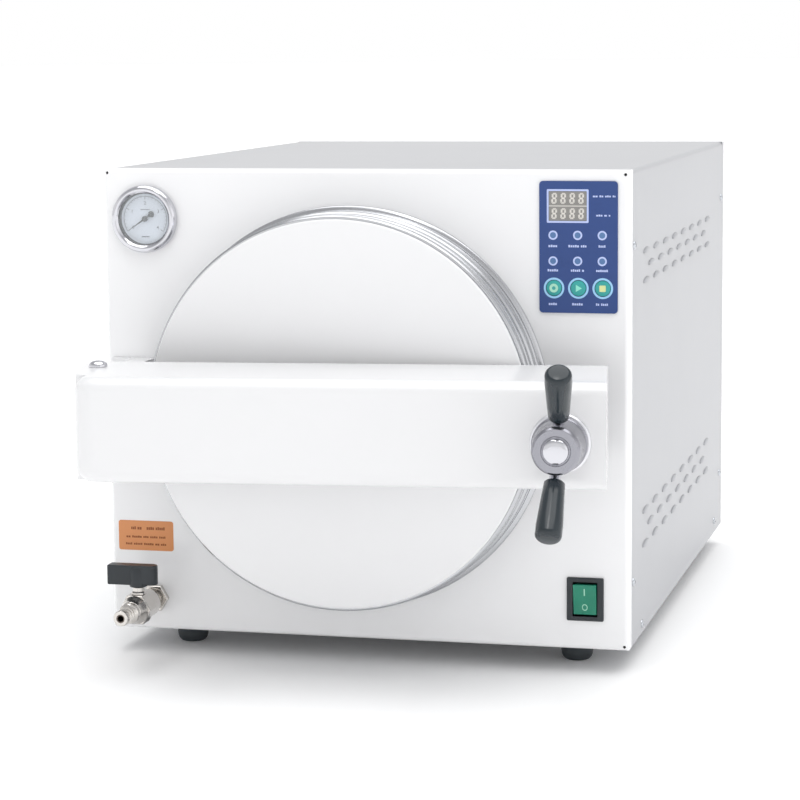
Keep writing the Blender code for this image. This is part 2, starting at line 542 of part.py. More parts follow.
def make_keypad(frame, finishes):
    place = (KEYPAD_X, 0, KEYPAD_Z)
    front = 0.0015
    fascia = solid("keypad_fascia", rounded_plate(KEYPAD_WIDTH, KEYPAD_HEIGHT, 0.003, GAP, front),
        finishes["blue"], frame,
                   place, FORWARD)
    window = rounded_plate(DISPLAY_WIDTH - 0.0015, DISPLAY_HEIGHT - 0.0015, 0.0005, -0.01, 0.01, 1)
    combine(fascia, window, "DIFFERENCE", (DISPLAY_X - KEYPAD_X, DISPLAY_Z - KEYPAD_Z, 0))
    for name, column, finish in (("set_button", -1, "teal"), ("start_button", 0, "teal"),
        ("stop_button", 1, "teal")):
        x = KEYPAD_X + column * BUTTON_PITCH
        combine(fascia, rod(BUTTON_RADIUS + 0.0004, -0.01, 0.01, 16), "DIFFERENCE",
            (x - KEYPAD_X, BUTTON_Z - KEYPAD_Z, 0))
        cap = [
            (0, -0.0030), (BUTTON_RADIUS - 0.002, -0.0030), (BUTTON_RADIUS - 0.002, -0.0012),
            (BUTTON_RADIUS, -0.0012),
            (BUTTON_RADIUS, front + 0.0004), (BUTTON_RADIUS - 0.0008, front + 0.0010), (0, front + 0.0012),
        ]
        solid(name, turned(cap, 16), finishes[finish], frame, (x, 0, BUTTON_Z), FORWARD)
    screen = rounded_plate(DISPLAY_WIDTH - 0.0021, DISPLAY_HEIGHT - 0.0021, 0.0005, -0.0040,
        front - 0.0003, 1)
    solid("display_window", screen, finishes["grey"], frame, (DISPLAY_X, 0, DISPLAY_Z), FORWARD)
    board = rounded_plate(KEYPAD_WIDTH - 0.008, KEYPAD_HEIGHT - 0.008, 0.002, -0.0086, -0.0070, 1)
    solid("control_board", board, finishes["board"], frame, place, FORWARD)


def make_power_switch(frame, rocker_axis, finishes):
    centre = (SWITCH_X, 0, SWITCH_Z)
    body = solid("switch_body", rounded_plate(SWITCH_WIDTH, SWITCH_HEIGHT, 0.002, GAP, 0.0022),
        finishes["black"], frame,
                 centre, FORWARD)
    back = rounded_plate(SWITCH_WIDTH - 0.0046, SWITCH_HEIGHT - 0.0046, 0.001, -0.024, 0.001, 1)
    combine(body, back, "UNION")
    well = rounded_plate(ROCKER_WIDTH + 0.0012, ROCKER_HEIGHT + 2 * ROCKER_PLAY, 0.0008, -0.016, 0.01, 1)
    combine(body, well, "DIFFERENCE")
    half = ROCKER_HEIGHT / 2
    side = [(-half, 0.0015), (0, 0.0042), (half, 0.0060), (half - 0.0004, -0.0040), (0, -0.0090),
        (-half + 0.0004, -0.0040)]
    rocker = prism(side, -ROCKER_WIDTH / 2, ROCKER_WIDTH / 2)
    turn = Matrix(((0, 0, 1), (1, 0, 0), (0, 1, 0)))
    bmesh.ops.transform(rocker, matrix=turn.to_4x4(), verts=rocker.verts)
    solid("switch_rocker", rocker, finishes["green"], rocker_axis)


def make_drain_valve(frame, lever_axis, finishes):
    """A small ball valve on the front panel, its axis square to the panel and its lever on top."""
    axis = (VALVE_X, 0, VALVE_Z)
    ball, seat, stem = 0.0062, 0.0066, -VALVE_STEM_Y
    nut = [(0.0078, GAP), (0.0125, GAP), (0.0125, 0.0055), (0.0078, 0.0055)]
    solid("drain_nut", turned(nut, 6), finishes["nickel"], frame, axis, FORWARD)
    body_profile = [
        (0, -0.0140), (0.0062, -0.0140), (0.0062, 0.0060), (0.0085, 0.0065), (0.0085, 0.0180),
        (0.0115, 0.0210),
        (0.0120, 0.0300), (0.0120, 0.0540), (0.0100, 0.0600), (0.0090, 0.0640), (0, 0.0640),
    ]
    body = solid("drain_valve_body", turned(body_profile, 16), finishes["nickel"], frame, axis, FORWARD)
    hexagon = [(0, stem - 0.006), (0.0140, stem - 0.006), (0.0140, stem + 0.011), (0, stem + 0.011)]
    combine(body, turned(hexagon, 6), "UNION")
    neck_top = LEVER_BOTTOM - VALVE_Z - 0.0020
    neck = [(0, 0), (0.0062, 0), (0.0062, neck_top - 0.004), (0.0046, neck_top - 0.003),
        (0.0046, neck_top), (0, neck_top)]
    combine(body, turned(neck, 12), "UNION", (0, 0, stem), BACKWARD)
    combine(body, rod(VALVE_BORE, -0.02, 0.060, 12), "DIFFERENCE")
    combine(body, rod(0.0053, 0.0560, 0.070, 12), "DIFFERENCE")
    combine(body, turned(arc(0, stem, seat, -90, 90, 6), 12), "DIFFERENCE")
    combine(body, rod(0.0026, 0, neck_top + 0.01, 10), "DIFFERENCE", (0, 0, stem), BACKWARD)
    barb = [
        (0.0036, 0.0570), (0.0048, 0.0570), (0.0048, 0.0643), (0.0085, 0.0643), (0.0085, 0.0690),
        (0.0056, 0.0700),
        (0.0068, 0.0745), (0.0056, 0.0750), (0.0068, 0.0800), (0.0056, 0.0805), (0.0066, 0.0860),
        (0.0060, 0.0885),
        (0.0036, 0.0885),
    ]
    solid("drain_barb", turned(barb, 14), finishes["nickel"], frame, axis, FORWARD)
    sphere = solid("drain_ball", turned(arc(0, VALVE_Z, ball, -90, 90, 6), 12), finishes["steel"],
        lever_axis)
    combine(sphere, rod(VALVE_BORE - 0.0004, -0.02, 0.02, 12), "DIFFERENCE", (0, 0, VALVE_Z),
        (0, math.pi / 2, 0))
    outline = [
        (LEVER_LEFT, -0.0062), *arc(LEVER_RIGHT - 0.0062, 0, 0.0062, -90, 90, 6), (LEVER_LEFT, 0.0062),
    ]
    grip = prism(outline, LEVER_BOTTOM, LEVER_TOP)
    bmesh.ops.bevel(grip,
        geom=[edge for edge in grip.edges if min(v.co.z for v in edge.verts) > LEVER_TOP - 1e-6],
                    offset=0.0015, affect="EDGES", segments=2, profile=0.5)
    lever = solid("drain_lever", grip, finishes["black"], lever_axis)
    combine(lever, rod(0.0020, VALVE_Z + ball + GAP, LEVER_BOTTOM + 0.001, 12), "UNION")


def make_pipes(frame, copper):
    """Pipes behind the panel: from the chamber's floor to the drain valve, and from its roof to the gauge."""
    drain = [
        (VALVE_X, 0.0150, VALVE_Z), (VALVE_X, 0.0400, VALVE_Z), (VALVE_X + 0.010, 0.0600, VALVE_Z + 0.002),
        (-0.120, 0.0740, 0.034), (-0.040, 0.0760, 0.036), (AXIS_X - 0.012, 0.0740, 0.038),
        (AXIS_X, 0.0700, 0.0420),
    ]
    tube("drain_pipe", drain, 0.003, copper, frame)
    gauge = [
        (GAUGE_X, 0.0245, GAUGE_Z), (GAUGE_X, 0.0420, GAUGE_Z), (GAUGE_X + 0.012, 0.0600, GAUGE_Z),
        (-0.140, 0.0700, GAUGE_Z), (-0.060, 0.0700, 0.3600), (-0.022, 0.0700, 0.3590),
        (AXIS_X, 0.0700, 0.3510),
    ]
    tube("gauge_tube", gauge, 0.002, copper, frame)


def make_rear_fittings(frame, finishes):
    """On the back: the mains inlet, a fuse holder and the safety valve. Inside: the solenoid valve."""
    inlet = solid("mains_inlet", rounded_plate(0.0480, 0.0225, 0.003, GAP, 0.0030), finishes["black"],
        frame,
                  (INLET_X, DEPTH, INLET_Z), BACKWARD)
    combine(inlet, rounded_plate(0.0270, 0.0200, 0.002, -0.0220, 0.001, 1), "UNION")
    combine(inlet, rounded_plate(0.0230, 0.0160, 0.002, -0.0160, 0.01, 1), "DIFFERENCE")
    pins = bmesh.new()
    for x, y in ((-0.007, 0.002), (0.007, 0.002), (0, -0.002)):
        add_box(pins, (x - 0.0010, y - 0.0020, -0.0170), (x + 0.0010, y + 0.0020, -0.0030))
    combine(inlet, pins, "UNION")
    fuse = [(0, -0.0250), (0.0062, -0.0250), (0.0062, GAP), (0.0080, GAP), (0.0080, 0.0070),
        (0.0068, 0.0085), (0, 0.0085)]
    solid("fuse_holder", turned(fuse, 16), finishes["black"], frame, (FUSE_X, DEPTH, FUSE_Z), BACKWARD)
    valve = [
        (0.0022, -0.0200), (0.0080, -0.0200), (0.0080, GAP), (0.0110, GAP), (0.0110, 0.0060),
        (0.0075, 0.0075),
        (0.0075, 0.0180), (0.0022, 0.0180),
    ]
    place = (SAFETY_X, DEPTH, SAFETY_Z)
    solid("safety_valve", turned(valve, 16), finishes["brass"], frame, place, BACKWARD)
    pull = [(0, 0.0060), (0.0018, 0.0060), (0.0018, 0.0183), (0.0060, 0.0183), (0.0068, 0.0210),
        (0.0060, 0.0235), (0, 0.0235)]
    solid("safety_pull", turned(pull, 14), finishes["brass"], frame, place, BACKWARD)
    low = Vector((0.150, 0.300, SHEET + GAP))
    solenoid = solid("solenoid_valve", box(low, low + Vector((0.040, 0.045, 0.030))), finishes["brass"],
        frame)
    combine(solenoid, rod(0.016, 0.025, 0.075, 20), "UNION", low + Vector((0.020, 0.0225, 0)))


def stand_on_origin(root):
    """Moves the root so that the middle of the whole machine's underside is the origin."""
    bpy.context.view_layer.update()
    graph = bpy.context.evaluated_depsgraph_get()
    corners = []
    for obj in bpy.data.objects:
        if obj.type == "EMPTY" or obj.hide_render:
            continue
        shape = obj.evaluated_get(graph)
        mesh = shape.to_mesh()
        corners += [shape.matrix_world @ vert.co for vert in mesh.vertices]
        shape.to_mesh_clear()
    low, high = ([pick(point[i] for point in corners) for i in range(3)] for pick in (min, max))
    root.location = (-(low[0] + high[0]) / 2, -(low[1] + high[1]) / 2, -low[2])


def main():
    clear_scene()
    finishes = {
        "white": material("white_enamel", (0.86, 0.87, 0.88), 0, 0.30),
        "cover": material("cover_enamel", (0.72, 0.73, 0.75), 0, 0.35),
        "zinc": material("zinc_plate", (0.55, 0.56, 0.58), 1, 0.45),
        "steel": material("stainless_steel", (0.72, 0.72, 0.73), 1, 0.28),
        "chrome": material("satin_chrome", (0.75, 0.75, 0.77), 1, 0.20),
        "nickel": material("nickel_plate", (0.68, 0.67, 0.65), 1, 0.25),
        "brass": material("brass", (0.70, 0.52, 0.25), 1, 0.30),
        "copper": material("copper", (0.72, 0.38, 0.24), 1, 0.30),
        "wool": material("insulation_wool", (0.78, 0.74, 0.60), 0, 0.95),
        "rubber": material("black_rubber", (0.03, 0.035, 0.04), 0, 0.70),
        "silicone": material("red_silicone", (0.55, 0.12, 0.08), 0, 0.50),
        "black": material("black_plastic", (0.04, 0.05, 0.06), 0, 0.40),
        "dark": material("dark_steel", (0.12, 0.13, 0.14), 1, 0.45),
        "dial": material("dial_white", (0.85, 0.88, 0.90), 0, 0.50),
        "glass": material("gauge_glass", (0.92, 0.95, 0.97), 0, 0.03),
        "blue": material("keypad_blue", (0.04, 0.10, 0.36), 0, 0.35),
        "teal": material("button_teal", (0.05, 0.42, 0.40), 0, 0.35),
        "grey": material("display_grey", (0.28, 0.30, 0.32), 0, 0.20),
        "board": material("circuit_board", (0.04, 0.22, 0.10), 0, 0.50),
        "green": material("green_lens", (0.02, 0.36, 0.16), 0, 0.15),
    }
    root = empty("autoclave")
    make_front_panel(root, finishes["white"])
    make_wrap_cover(root, finishes["cover"])
    make_base_and_rear(root, finishes["cover"])
    make_feet(root, finishes["rubber"])
    make_chamber(root, finishes["steel"], finishes["wool"])
    make_saddles(root, finishes["zinc"])
    make_chamber_contents(root, finishes["steel"], finishes["dark"])
    hinge = empty("hinge_axis", root, (PIN_X, PIN_Y, 0))
    bar = empty("bar_frame", hinge, rotation=(0, 0, BAR_YAW))
    make_door(hinge, finishes["white"], finishes["steel"], finishes["silicone"])
    make_closing_bar(bar, finishes["white"])
    make_hinge(root, hinge, finishes["white"], finishes["chrome"])
    make_bar_fittings(bar, finishes["steel"], finishes["dark"])
    screw = empty("screw_axis", bar, (SCREW_X, BAR_FRONT, SCREW_Z), FORWARD)
    make_handle(screw, finishes["steel"], finishes["chrome"], finishes["black"])
    catch = empty("catch_axis", root, (*bar_point(SCREW_X, BAR_FRONT).xy, SCREW_Z),
        (math.pi / 2, 0, BAR_YAW))
    make_catch(root, catch, finishes["steel"])
    needle_axis = empty("needle_axis", root, (GAUGE_X, 0, GAUGE_Z), FORWARD)
    make_gauge(root, needle_axis, finishes)
    make_keypad(root, finishes)
    rocker_axis = empty("rocker_axis", root, (SWITCH_X, 0, SWITCH_Z), FORWARD)
    make_power_switch(root, rocker_axis, finishes)
    lever_axis = empty("lever_axis", root, (VALVE_X, VALVE_STEM_Y, 0))
    make_drain_valve(root, lever_axis, finishes)
    make_pipes(root, finishes["copper"])
    make_rear_fittings(root, finishes)
    stand_on_origin(root)


main()
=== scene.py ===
# Looks of a benchtop steam steriliser: enamelled cabinet, round steel door, closing bar and screw handle.
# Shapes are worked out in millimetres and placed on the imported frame, which is in metres.
import json
import math

import bmesh
import bpy
from mathutils import Matrix, Vector


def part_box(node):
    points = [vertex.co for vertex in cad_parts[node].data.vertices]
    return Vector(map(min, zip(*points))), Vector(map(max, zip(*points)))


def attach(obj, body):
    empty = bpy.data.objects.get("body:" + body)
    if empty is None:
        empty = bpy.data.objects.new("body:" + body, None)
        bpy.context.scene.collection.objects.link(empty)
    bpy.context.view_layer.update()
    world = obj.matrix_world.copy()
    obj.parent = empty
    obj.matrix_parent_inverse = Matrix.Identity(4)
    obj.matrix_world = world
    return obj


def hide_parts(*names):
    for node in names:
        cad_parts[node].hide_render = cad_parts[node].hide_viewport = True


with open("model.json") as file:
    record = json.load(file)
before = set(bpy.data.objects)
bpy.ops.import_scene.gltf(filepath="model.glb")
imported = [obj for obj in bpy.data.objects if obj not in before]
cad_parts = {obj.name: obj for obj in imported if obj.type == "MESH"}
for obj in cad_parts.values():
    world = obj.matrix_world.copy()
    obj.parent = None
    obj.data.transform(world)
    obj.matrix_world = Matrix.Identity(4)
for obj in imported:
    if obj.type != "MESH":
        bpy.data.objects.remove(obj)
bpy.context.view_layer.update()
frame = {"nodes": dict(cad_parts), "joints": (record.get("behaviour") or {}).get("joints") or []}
joints = {joint["name"]: joint for joint in frame["joints"]}


# helpers for materials
def toLinear(hexColour):
    values = [int(hexColour[i:i + 2], 16) / 255 for i in (1, 3, 5)]
    return (*[v / 12.92 if v <= 0.04045 else ((v + 0.055) / 1.055) ** 2.4 for v in values], 1)


def addNode(material, kind, inputs=None, **settings):
    # adds one shader node with its settings; an input is a value, or another node's output to link
    made = material.node_tree.nodes.new("ShaderNode" + kind)
    for setting, value in settings.items():
        setattr(made, setting, value)
    for socket, value in (inputs or {}).items():
        if isinstance(value, bpy.types.NodeSocket):
            material.node_tree.links.new(value, made.inputs[socket])
        else:
            made.inputs[socket].default_value = value
    return made


def newMaterial(name, colour, roughness, **sockets):
    material = bpy.data.materials.new(name)
    material.use_nodes = True
    material.diffuse_color = toLinear(colour)
    shader = material.node_tree.nodes["Principled BSDF"]
    shader.inputs["Base Color"].default_value = toLinear(colour)
    shader.inputs["Roughness"].default_value = roughness
    for socket, value in sockets.items():
        shader.inputs[socket.replace("_", " ")].default_value = value
    return material, shader


def connect(material, output, socket):
    material.node_tree.links.new(output, socket)


def objectPlace(material, centre=(0, 0, 0), stretch=(1, 1, 1)):
    coordinates = addNode(material, "TexCoord")
    place = addNode(material, "Mapping", {"Vector": coordinates.outputs["Object"]}, vector_type="TEXTURE")
    place.inputs["Location"].default_value = centre
    place.inputs["Scale"].default_value = stretch
    return place.outputs["Vector"]


def clouds(material, place, sizeMm, detail=2.0):
    noise = addNode(material, "TexNoise", {"Vector": place, "Scale": 1000 / sizeMm, "Detail": detail})
    return noise.outputs["Fac"]


def between(material, pattern, low, high):
    # spreads a noise pattern over a narrow range; it seldom leaves the middle, so nothing is cut off flat
    limits = {"Value": pattern, "From Min": 0.1, "From Max": 0.9, "To Min": low, "To Max": high}
    return addNode(material, "MapRange", limits).outputs["Result"]


def twoShades(material, shader, pattern, first, second):
    mix = addNode(material, "Mix", {6: toLinear(first), 7: toLinear(second), 0: pattern}, data_type="RGBA")
    connect(material, mix.outputs[2], shader.inputs["Base Color"])


def raised(material, shader, pattern, depthMm, strength):
    bump = addNode(material, "Bump", {"Height": pattern, "Distance": depthMm / 1000, "Strength": strength})
    connect(material, bump.outputs["Normal"], shader.inputs["Normal"])


# materials, each named for what it is
def stovedEnamel(name, colour, second, roughness):
    # Enamel sprayed on steel sheet and stoved: it levels into a gloss with a faint orange peel 5 mm across,
    # so reflections stay readable but lose their hard edges, and the white drifts a little over a hand's width.
    material, shader = newMaterial(name, colour, roughness, IOR=1.5, Coat_Weight=0.25, Coat_Roughness=0.1)
    place = objectPlace(material)
    twoShades(material, shader, between(material, clouds(material, place, 140, 0), 0, 1), colour, second)
    worn = between(material, clouds(material, place, 60), roughness - 0.01, roughness + 0.01)
    connect(material, worn, shader.inputs["Roughness"])
    raised(material, shader, clouds(material, place, 5.0, 0), 0.015, 0.18)
    return material


def turnedSteel(name, colour, roughness, centre, ringMm, axis="Y"):
    # Stainless steel faced on a lathe: rings of tool marks round the centre. Real marks are about 0.1 mm
    # apart and are drawn coarser, so that the eye still reads them as rings.
    material, shader = newMaterial(name, colour, roughness, Metallic=1.0)
    place = objectPlace(material, centre)
    pattern = {"Vector": place, "Scale": 314 / ringMm, "Distortion": 0.6, "Detail": 2.0}
    rings = addNode(material, "TexWave", pattern, wave_type="RINGS", rings_direction=axis)
    connect(material, between(material, clouds(material, place, 25), roughness - 0.05, roughness + 0.07),
        shader.inputs["Roughness"])
    raised(material, shader, rings.outputs["Fac"], 0.012, 0.35)
    return material


def linishedSteel(name, colour, roughness, grain):
    # Stainless sheet with a linished grain: scratches a hundred times longer than they are wide.
    material, shader = newMaterial(name, colour, roughness, Metallic=1.0)
    scratches = clouds(material, objectPlace(material, stretch=grain), 1.5, 3.0)
    connect(material, between(material, scratches, roughness - 0.06, roughness + 0.08),
        shader.inputs["Roughness"])
    raised(material, shader, scratches, 0.02, 0.3)
    return material


def plating(name, colour, roughness, mottleMm=14):
    # Plated and buffed metal: almost a mirror, with a soft unevenness left by the buffing wheel.
    material, shader = newMaterial(name, colour, roughness, Metallic=1.0)
    place = objectPlace(material)
    connect(material, between(material, clouds(material, place, mottleMm), roughness - 0.03,
        roughness + 0.05), shader.inputs["Roughness"])
    raised(material, shader, clouds(material, place, mottleMm / 4, 1), 0.012, 0.2)
    return material


def moulding(name, colour, second, roughness, grainMm=0.6, depthMm=0.02):
    # Injection-moulded plastic: the mould's spark-eroded grain leaves a fine, even pebble.
    material, shader = newMaterial(name, colour, roughness, IOR=1.5)
    place = objectPlace(material)
    twoShades(material, shader, between(material, clouds(material, place, 20), 0, 1), colour, second)
    connect(material, between(material, clouds(material, place, 8), roughness - 0.04, roughness + 0.06),
        shader.inputs["Roughness"])
    raised(material, shader, clouds(material, place, grainMm, 2), depthMm, 0.4)
    return material


def printedInk(name, colour, roughness=0.45):
    # Screen ink: a dead flat colour with a faint mesh texture from the screen, about 0.3 mm.
    material, shader = newMaterial(name, colour, roughness, IOR=1.45)
    raised(material, shader, clouds(material, objectPlace(material), 0.3, 1), 0.005, 0.3)
    return material


def clearLens(name, colour, roughness, ior):
    # Pressed glass a millimetre thick: it hides almost nothing, and what the eye sees is its gloss.
    material, shader = newMaterial(name, colour, roughness, IOR=ior, Alpha=0.14)
    raised(material, shader, clouds(material, objectPlace(material), 12, 0), 0.01, 0.1)
    return material


flangeLow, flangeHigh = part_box("chamber_flange")
chamberAxis = ((flangeLow[0] + flangeHigh[0]) / 2, 0, (flangeLow[2] + flangeHigh[2]) / 2)
screwPoint = joints["handle_turn"]["pos_m"]

finishes = {
    "panel": stovedEnamel("white stoved enamel", "#EFEFF0", "#EEEEEF", 0.26),
    # The bar's enamel is the panel's white set darker: painted shade that offsets the stronger light falling on
    # the bar.
    "bar": stovedEnamel("white stoved enamel on bar darkened as painted shade", "#E2E2E3", "#E1E1E2", 0.26),
    # The cover's enamel is partly a slightly greyer paint and mostly painted shade: it is set far darker than the
    # front's white so that the roof, sides and back read as shaded.
    "cover": stovedEnamel("grey-white stoved enamel with painted shade", "#A2A3A7", "#A1A2A6", 0.36),
    "door": stovedEnamel("white door enamel", "#E9E9EA", "#E8E8E9", 0.28),
    "ring": turnedSteel("turned stainless steel", "#BEBFC2", 0.22, chamberAxis, 1.4),
    "disc": turnedSteel("faced stainless steel disc", "#E2E2E6", 0.3, screwPoint, 1.1),
    "hub": turnedSteel("satin chromed steel", "#9C9CA3", 0.27, screwPoint, 0.9),
    "chamberSteel": linishedSteel("linished stainless chamber", "#BFC1C4", 0.3, (1, 40, 1)),
    "traySteel": linishedSteel("linished stainless sheet", "#C6C8CA", 0.27, (1, 60, 1)),
    "chrome": plating("bright chrome plate", "#CFCFD4", 0.12, 10),
    "nickel": plating("nickel-plated brass", "#CFCBC6", 0.16, 8),
    "screwZinc": plating("bright zinc plate", "#C4C7CC", 0.22, 4),
    # A dark finish for the sleeve inside the drain barb: painted shade that darkens the inside of the hole.
    "boreShadePlating": plating("dark plating as painted bore shade", "#6B625C", 0.4, 5),
    "zinc": linishedSteel("galvanised steel", "#9EA1A5", 0.42, (1, 1, 6)),
    "brass": plating("plain brass", "#B98F4A", 0.24, 9),
    "copper": plating("copper tube", "#B5714D", 0.28, 12),
    "blackened": plating("blackened steel", "#3A3D40", 0.4, 9),
    "grip": moulding("phenolic moulding", "#20282D", "#252E34", 0.2, 1.6, 0.006),
    "nylon": moulding("black nylon", "#1F252A", "#262C31", 0.38, 1.0, 0.01),
    "rubber": moulding("black rubber", "#343A3E", "#3B4145", 0.6, 0.9, 0.04),
    "silicone": moulding("red silicone rubber", "#A8452F", "#9C3C29", 0.5, 1.2),
    "wool": moulding("mineral wool", "#C9BF9A", "#B5AA84", 0.95, 2.5, 0.6),
    "board": moulding("solder-masked board", "#1F6B3C", "#1A5E34", 0.35),
    "keypad": moulding("blue polyester film", "#22407C", "#264482", 0.42, 0.7, 0.006),
    "buttonTeal": moulding("teal polyester film", "#2E9C98", "#36A59F", 0.35, 0.35, 0.006),
    "display": moulding("smoked display filter", "#8C8A86", "#84827F", 0.22, 0.8, 0.004),
    "rocker": moulding("green translucent polycarbonate", "#11795F", "#1D8469", 0.18, 4, 0.01),
    "dial": moulding("dial enamel", "#DDE3EC", "#D8DFEA", 0.5, 0.8, 0.004),
    "label": moulding("orange vinyl label", "#D9935F", "#D28A56", 0.45, 0.8, 0.008),
    "inkLavender": printedInk("lavender ink", "#B9C6EE"),
    "inkSegment": printedInk("unlit segment grey", "#D6D2CC"),
    "inkSky": printedInk("sky blue ink", "#9CCDF0"),
    "inkMint": printedInk("mint ink", "#8FE0CC"),
    "inkStraw": printedInk("straw ink", "#D8DFA0"),
    "inkDark": printedInk("dark grey ink", "#4A4E58"),
    "inkBrown": printedInk("brown ink", "#8A4A22"),
    "inkPale": printedInk("pale green ink", "#A9DCC4"),
    "lamp": moulding("lamp lens", "#47699F", "#5A7FA8", 0.2, 1.0, 0.004),
    "glass": clearLens("gauge glass", "#F4F8FA", 0.02, 1.48),
}
print("materials:", len(finishes))


# helpers for shapes
def facing(x, y, z):
    # local x to the right, y up and z towards the user
    return Matrix(((1, 0, 0, x), (0, 0, -1, y), (0, 1, 0, z), (0, 0, 0, 1)))


def rearFacing(x, y, z):
    # local x to the left as the user sees it, y up and z out of the back
    return Matrix(((-1, 0, 0, x), (0, 0, 1, y), (0, 1, 0, z), (0, 0, 0, 1)))


def middle(node):
    low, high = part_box(node)
    return (Vector(low) + Vector(high)) / 2


def addPiece(name, bm, finish, body, place=None, replaced=(), edgeMm=0, sharpDeg=35):
    # places a bmesh made in millimetres, shades it, and lets it ride on a body
    bmesh.ops.transform(bm, matrix=(place or Matrix()) @ Matrix.Scale(0.001, 4), verts=bm.verts)
    bmesh.ops.recalc_face_normals(bm, faces=bm.faces)
    mesh = bpy.data.meshes.new(name)
    bm.to_mesh(mesh)
    bm.free()
    mesh.materials.append(finishes[finish])
    mesh.shade_smooth()
    piece = bpy.data.objects.new(name, mesh)
    bpy.context.collection.objects.link(piece)
    if edgeMm:
        edges = piece.modifiers.new("Edges", "BEVEL")
        edges.width, edges.segments, edges.limit_method = edgeMm / 1000, 3, "ANGLE"
        edges.angle_limit, edges.harden_normals = math.radians(sharpDeg), True
    else:
        mesh.set_sharp_from_angle(angle=math.radians(sharpDeg))
    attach(piece, body)
    if replaced:
        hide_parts(*replaced)
    return piece


def spun(profile, steps=96):
    # turns (radius, height) points round z; a profile that starts off the axis closes into a ring
    bm = bmesh.new()
    points = [bm.verts.new((radius, 0, height)) for radius, height in profile]
    edges = [bm.edges.new(pair) for pair in zip(points, points[1:])]
    if profile[0][0] > 0:
        edges.append(bm.edges.new((points[-1], points[0])))
    bmesh.ops.spin(bm, geom=points + edges, cent=(0, 0, 0), axis=(0, 0, 1), angle=2 * math.pi, steps=steps,
        use_merge=True)
    bmesh.ops.remove_doubles(bm, verts=bm.verts, dist=1e-4)
    return bm


def ringShape(outer, inner, low, high, steps=48):
    return spun([(inner, low), (outer, low), (outer, high), (inner, high)], steps)


def discShape(radius, low, high, steps=48):
    return spun([(0, low), (radius, low), (radius, high), (0, high)], steps)


def boxed(low, high, radius=0, chosen=lambda at: True, segments=6):
    # a box with chosen edges rounded
    bm = bmesh.new()
    low, high = Vector(low), Vector(high)
    place = Matrix.Translation((low + high) / 2) @ Matrix.Diagonal((*(high - low), 1))
    bmesh.ops.create_cube(bm, size=1, matrix=place)
    if radius:
        edges = [edge for edge in bm.edges if chosen((edge.verts[0].co + edge.verts[1].co) / 2)]
        bmesh.ops.bevel(bm, geom=edges, offset=radius, affect="EDGES", segments=segments, profile=0.5,
            material=-1)
    return bm


def roundedPlate(width, height, radius, low, high, segments=6):
    # a plate with round corners, centred on z
    return boxed((-width / 2, -height / 2, low), (width / 2, height / 2, high), radius,
                 lambda at: abs(at.z - (low + high) / 2) < 1e-6, segments)


def extruded(outline, low, high):
    bm = bmesh.new()
    face = bm.faces.new([bm.verts.new((x, y, low)) for x, y in outline])
    moved = bmesh.ops.extrude_face_region(bm, geom=[face])["geom"]
    bmesh.ops.translate(bm, vec=(0, 0, high - low),
        verts=[part for part in moved if isinstance(part, bmesh.types.BMVert)])
    return bm


def roundArc(x, y, radius, start, end, steps=12):
    angles = [math.radians(start + (end - start) * i / steps) for i in range(steps + 1)]
    return [(x + radius * math.cos(a), y + radius * math.sin(a)) for a in angles]


def moved(bm, place):
    bmesh.ops.transform(bm, matrix=place, verts=bm.verts)
    return bm


def shifted(bm, x, y, z=0):
    return moved(bm, Matrix.Translation((x, y, z)))


def gathered(shapes):
    # several bmeshes as one
    whole = bmesh.new()
    for shape in shapes:
        mesh = bpy.data.meshes.new("part")
        shape.to_mesh(mesh)
        shape.free()
        whole.from_mesh(mesh)
        bpy.data.meshes.remove(mesh)
    return whole


def asObject(bm):
    bmesh.ops.recalc_face_normals(bm, faces=bm.faces)
    mesh = bpy.data.meshes.new("temporary")
    bm.to_mesh(mesh)
    bm.free()
    made = bpy.data.objects.new("temporary", mesh)
    bpy.context.collection.objects.link(made)
    return made


def carved(bm, tools, wall=0):
    # gives a sheet its thickness inwards, if wall is set, cuts the tools away and returns the result
    target = asObject(bm)
    helpers = [asObject(tool) for tool in tools]
    if wall:
        sheet = target.modifiers.new("Sheet", "SOLIDIFY")
        sheet.thickness, sheet.offset, sheet.use_even_offset = wall, -1, True
    for helper in helpers:
        cut = target.modifiers.new("Cut", "BOOLEAN")
        cut.operation, cut.object = "DIFFERENCE", helper
    result = bmesh.new()
    result.from_object(target, bpy.context.evaluated_depsgraph_get())
    for made in [target, *helpers]:
        mesh = made.data
        bpy.data.objects.remove(made, do_unlink=True)
        bpy.data.meshes.remove(mesh)
    return result


def writtenNumber(text, sizeMm):
    # a number as a flat mesh, centred on z
    curve = bpy.data.curves.new("number", "FONT")
    curve.body, curve.size, curve.align_x, curve.align_y = text, sizeMm, "CENTER", "CENTER"
    curve.extrude = 0.02
    made = bpy.data.objects.new("number", curve)
    bpy.context.collection.objects.link(made)
    bm = bmesh.new()
    bm.from_mesh(bpy.data.meshes.new_from_object(made.evaluated_get(bpy.context.evaluated_depsgraph_get())))
    bpy.data.objects.remove(made, do_unlink=True)
    return bm


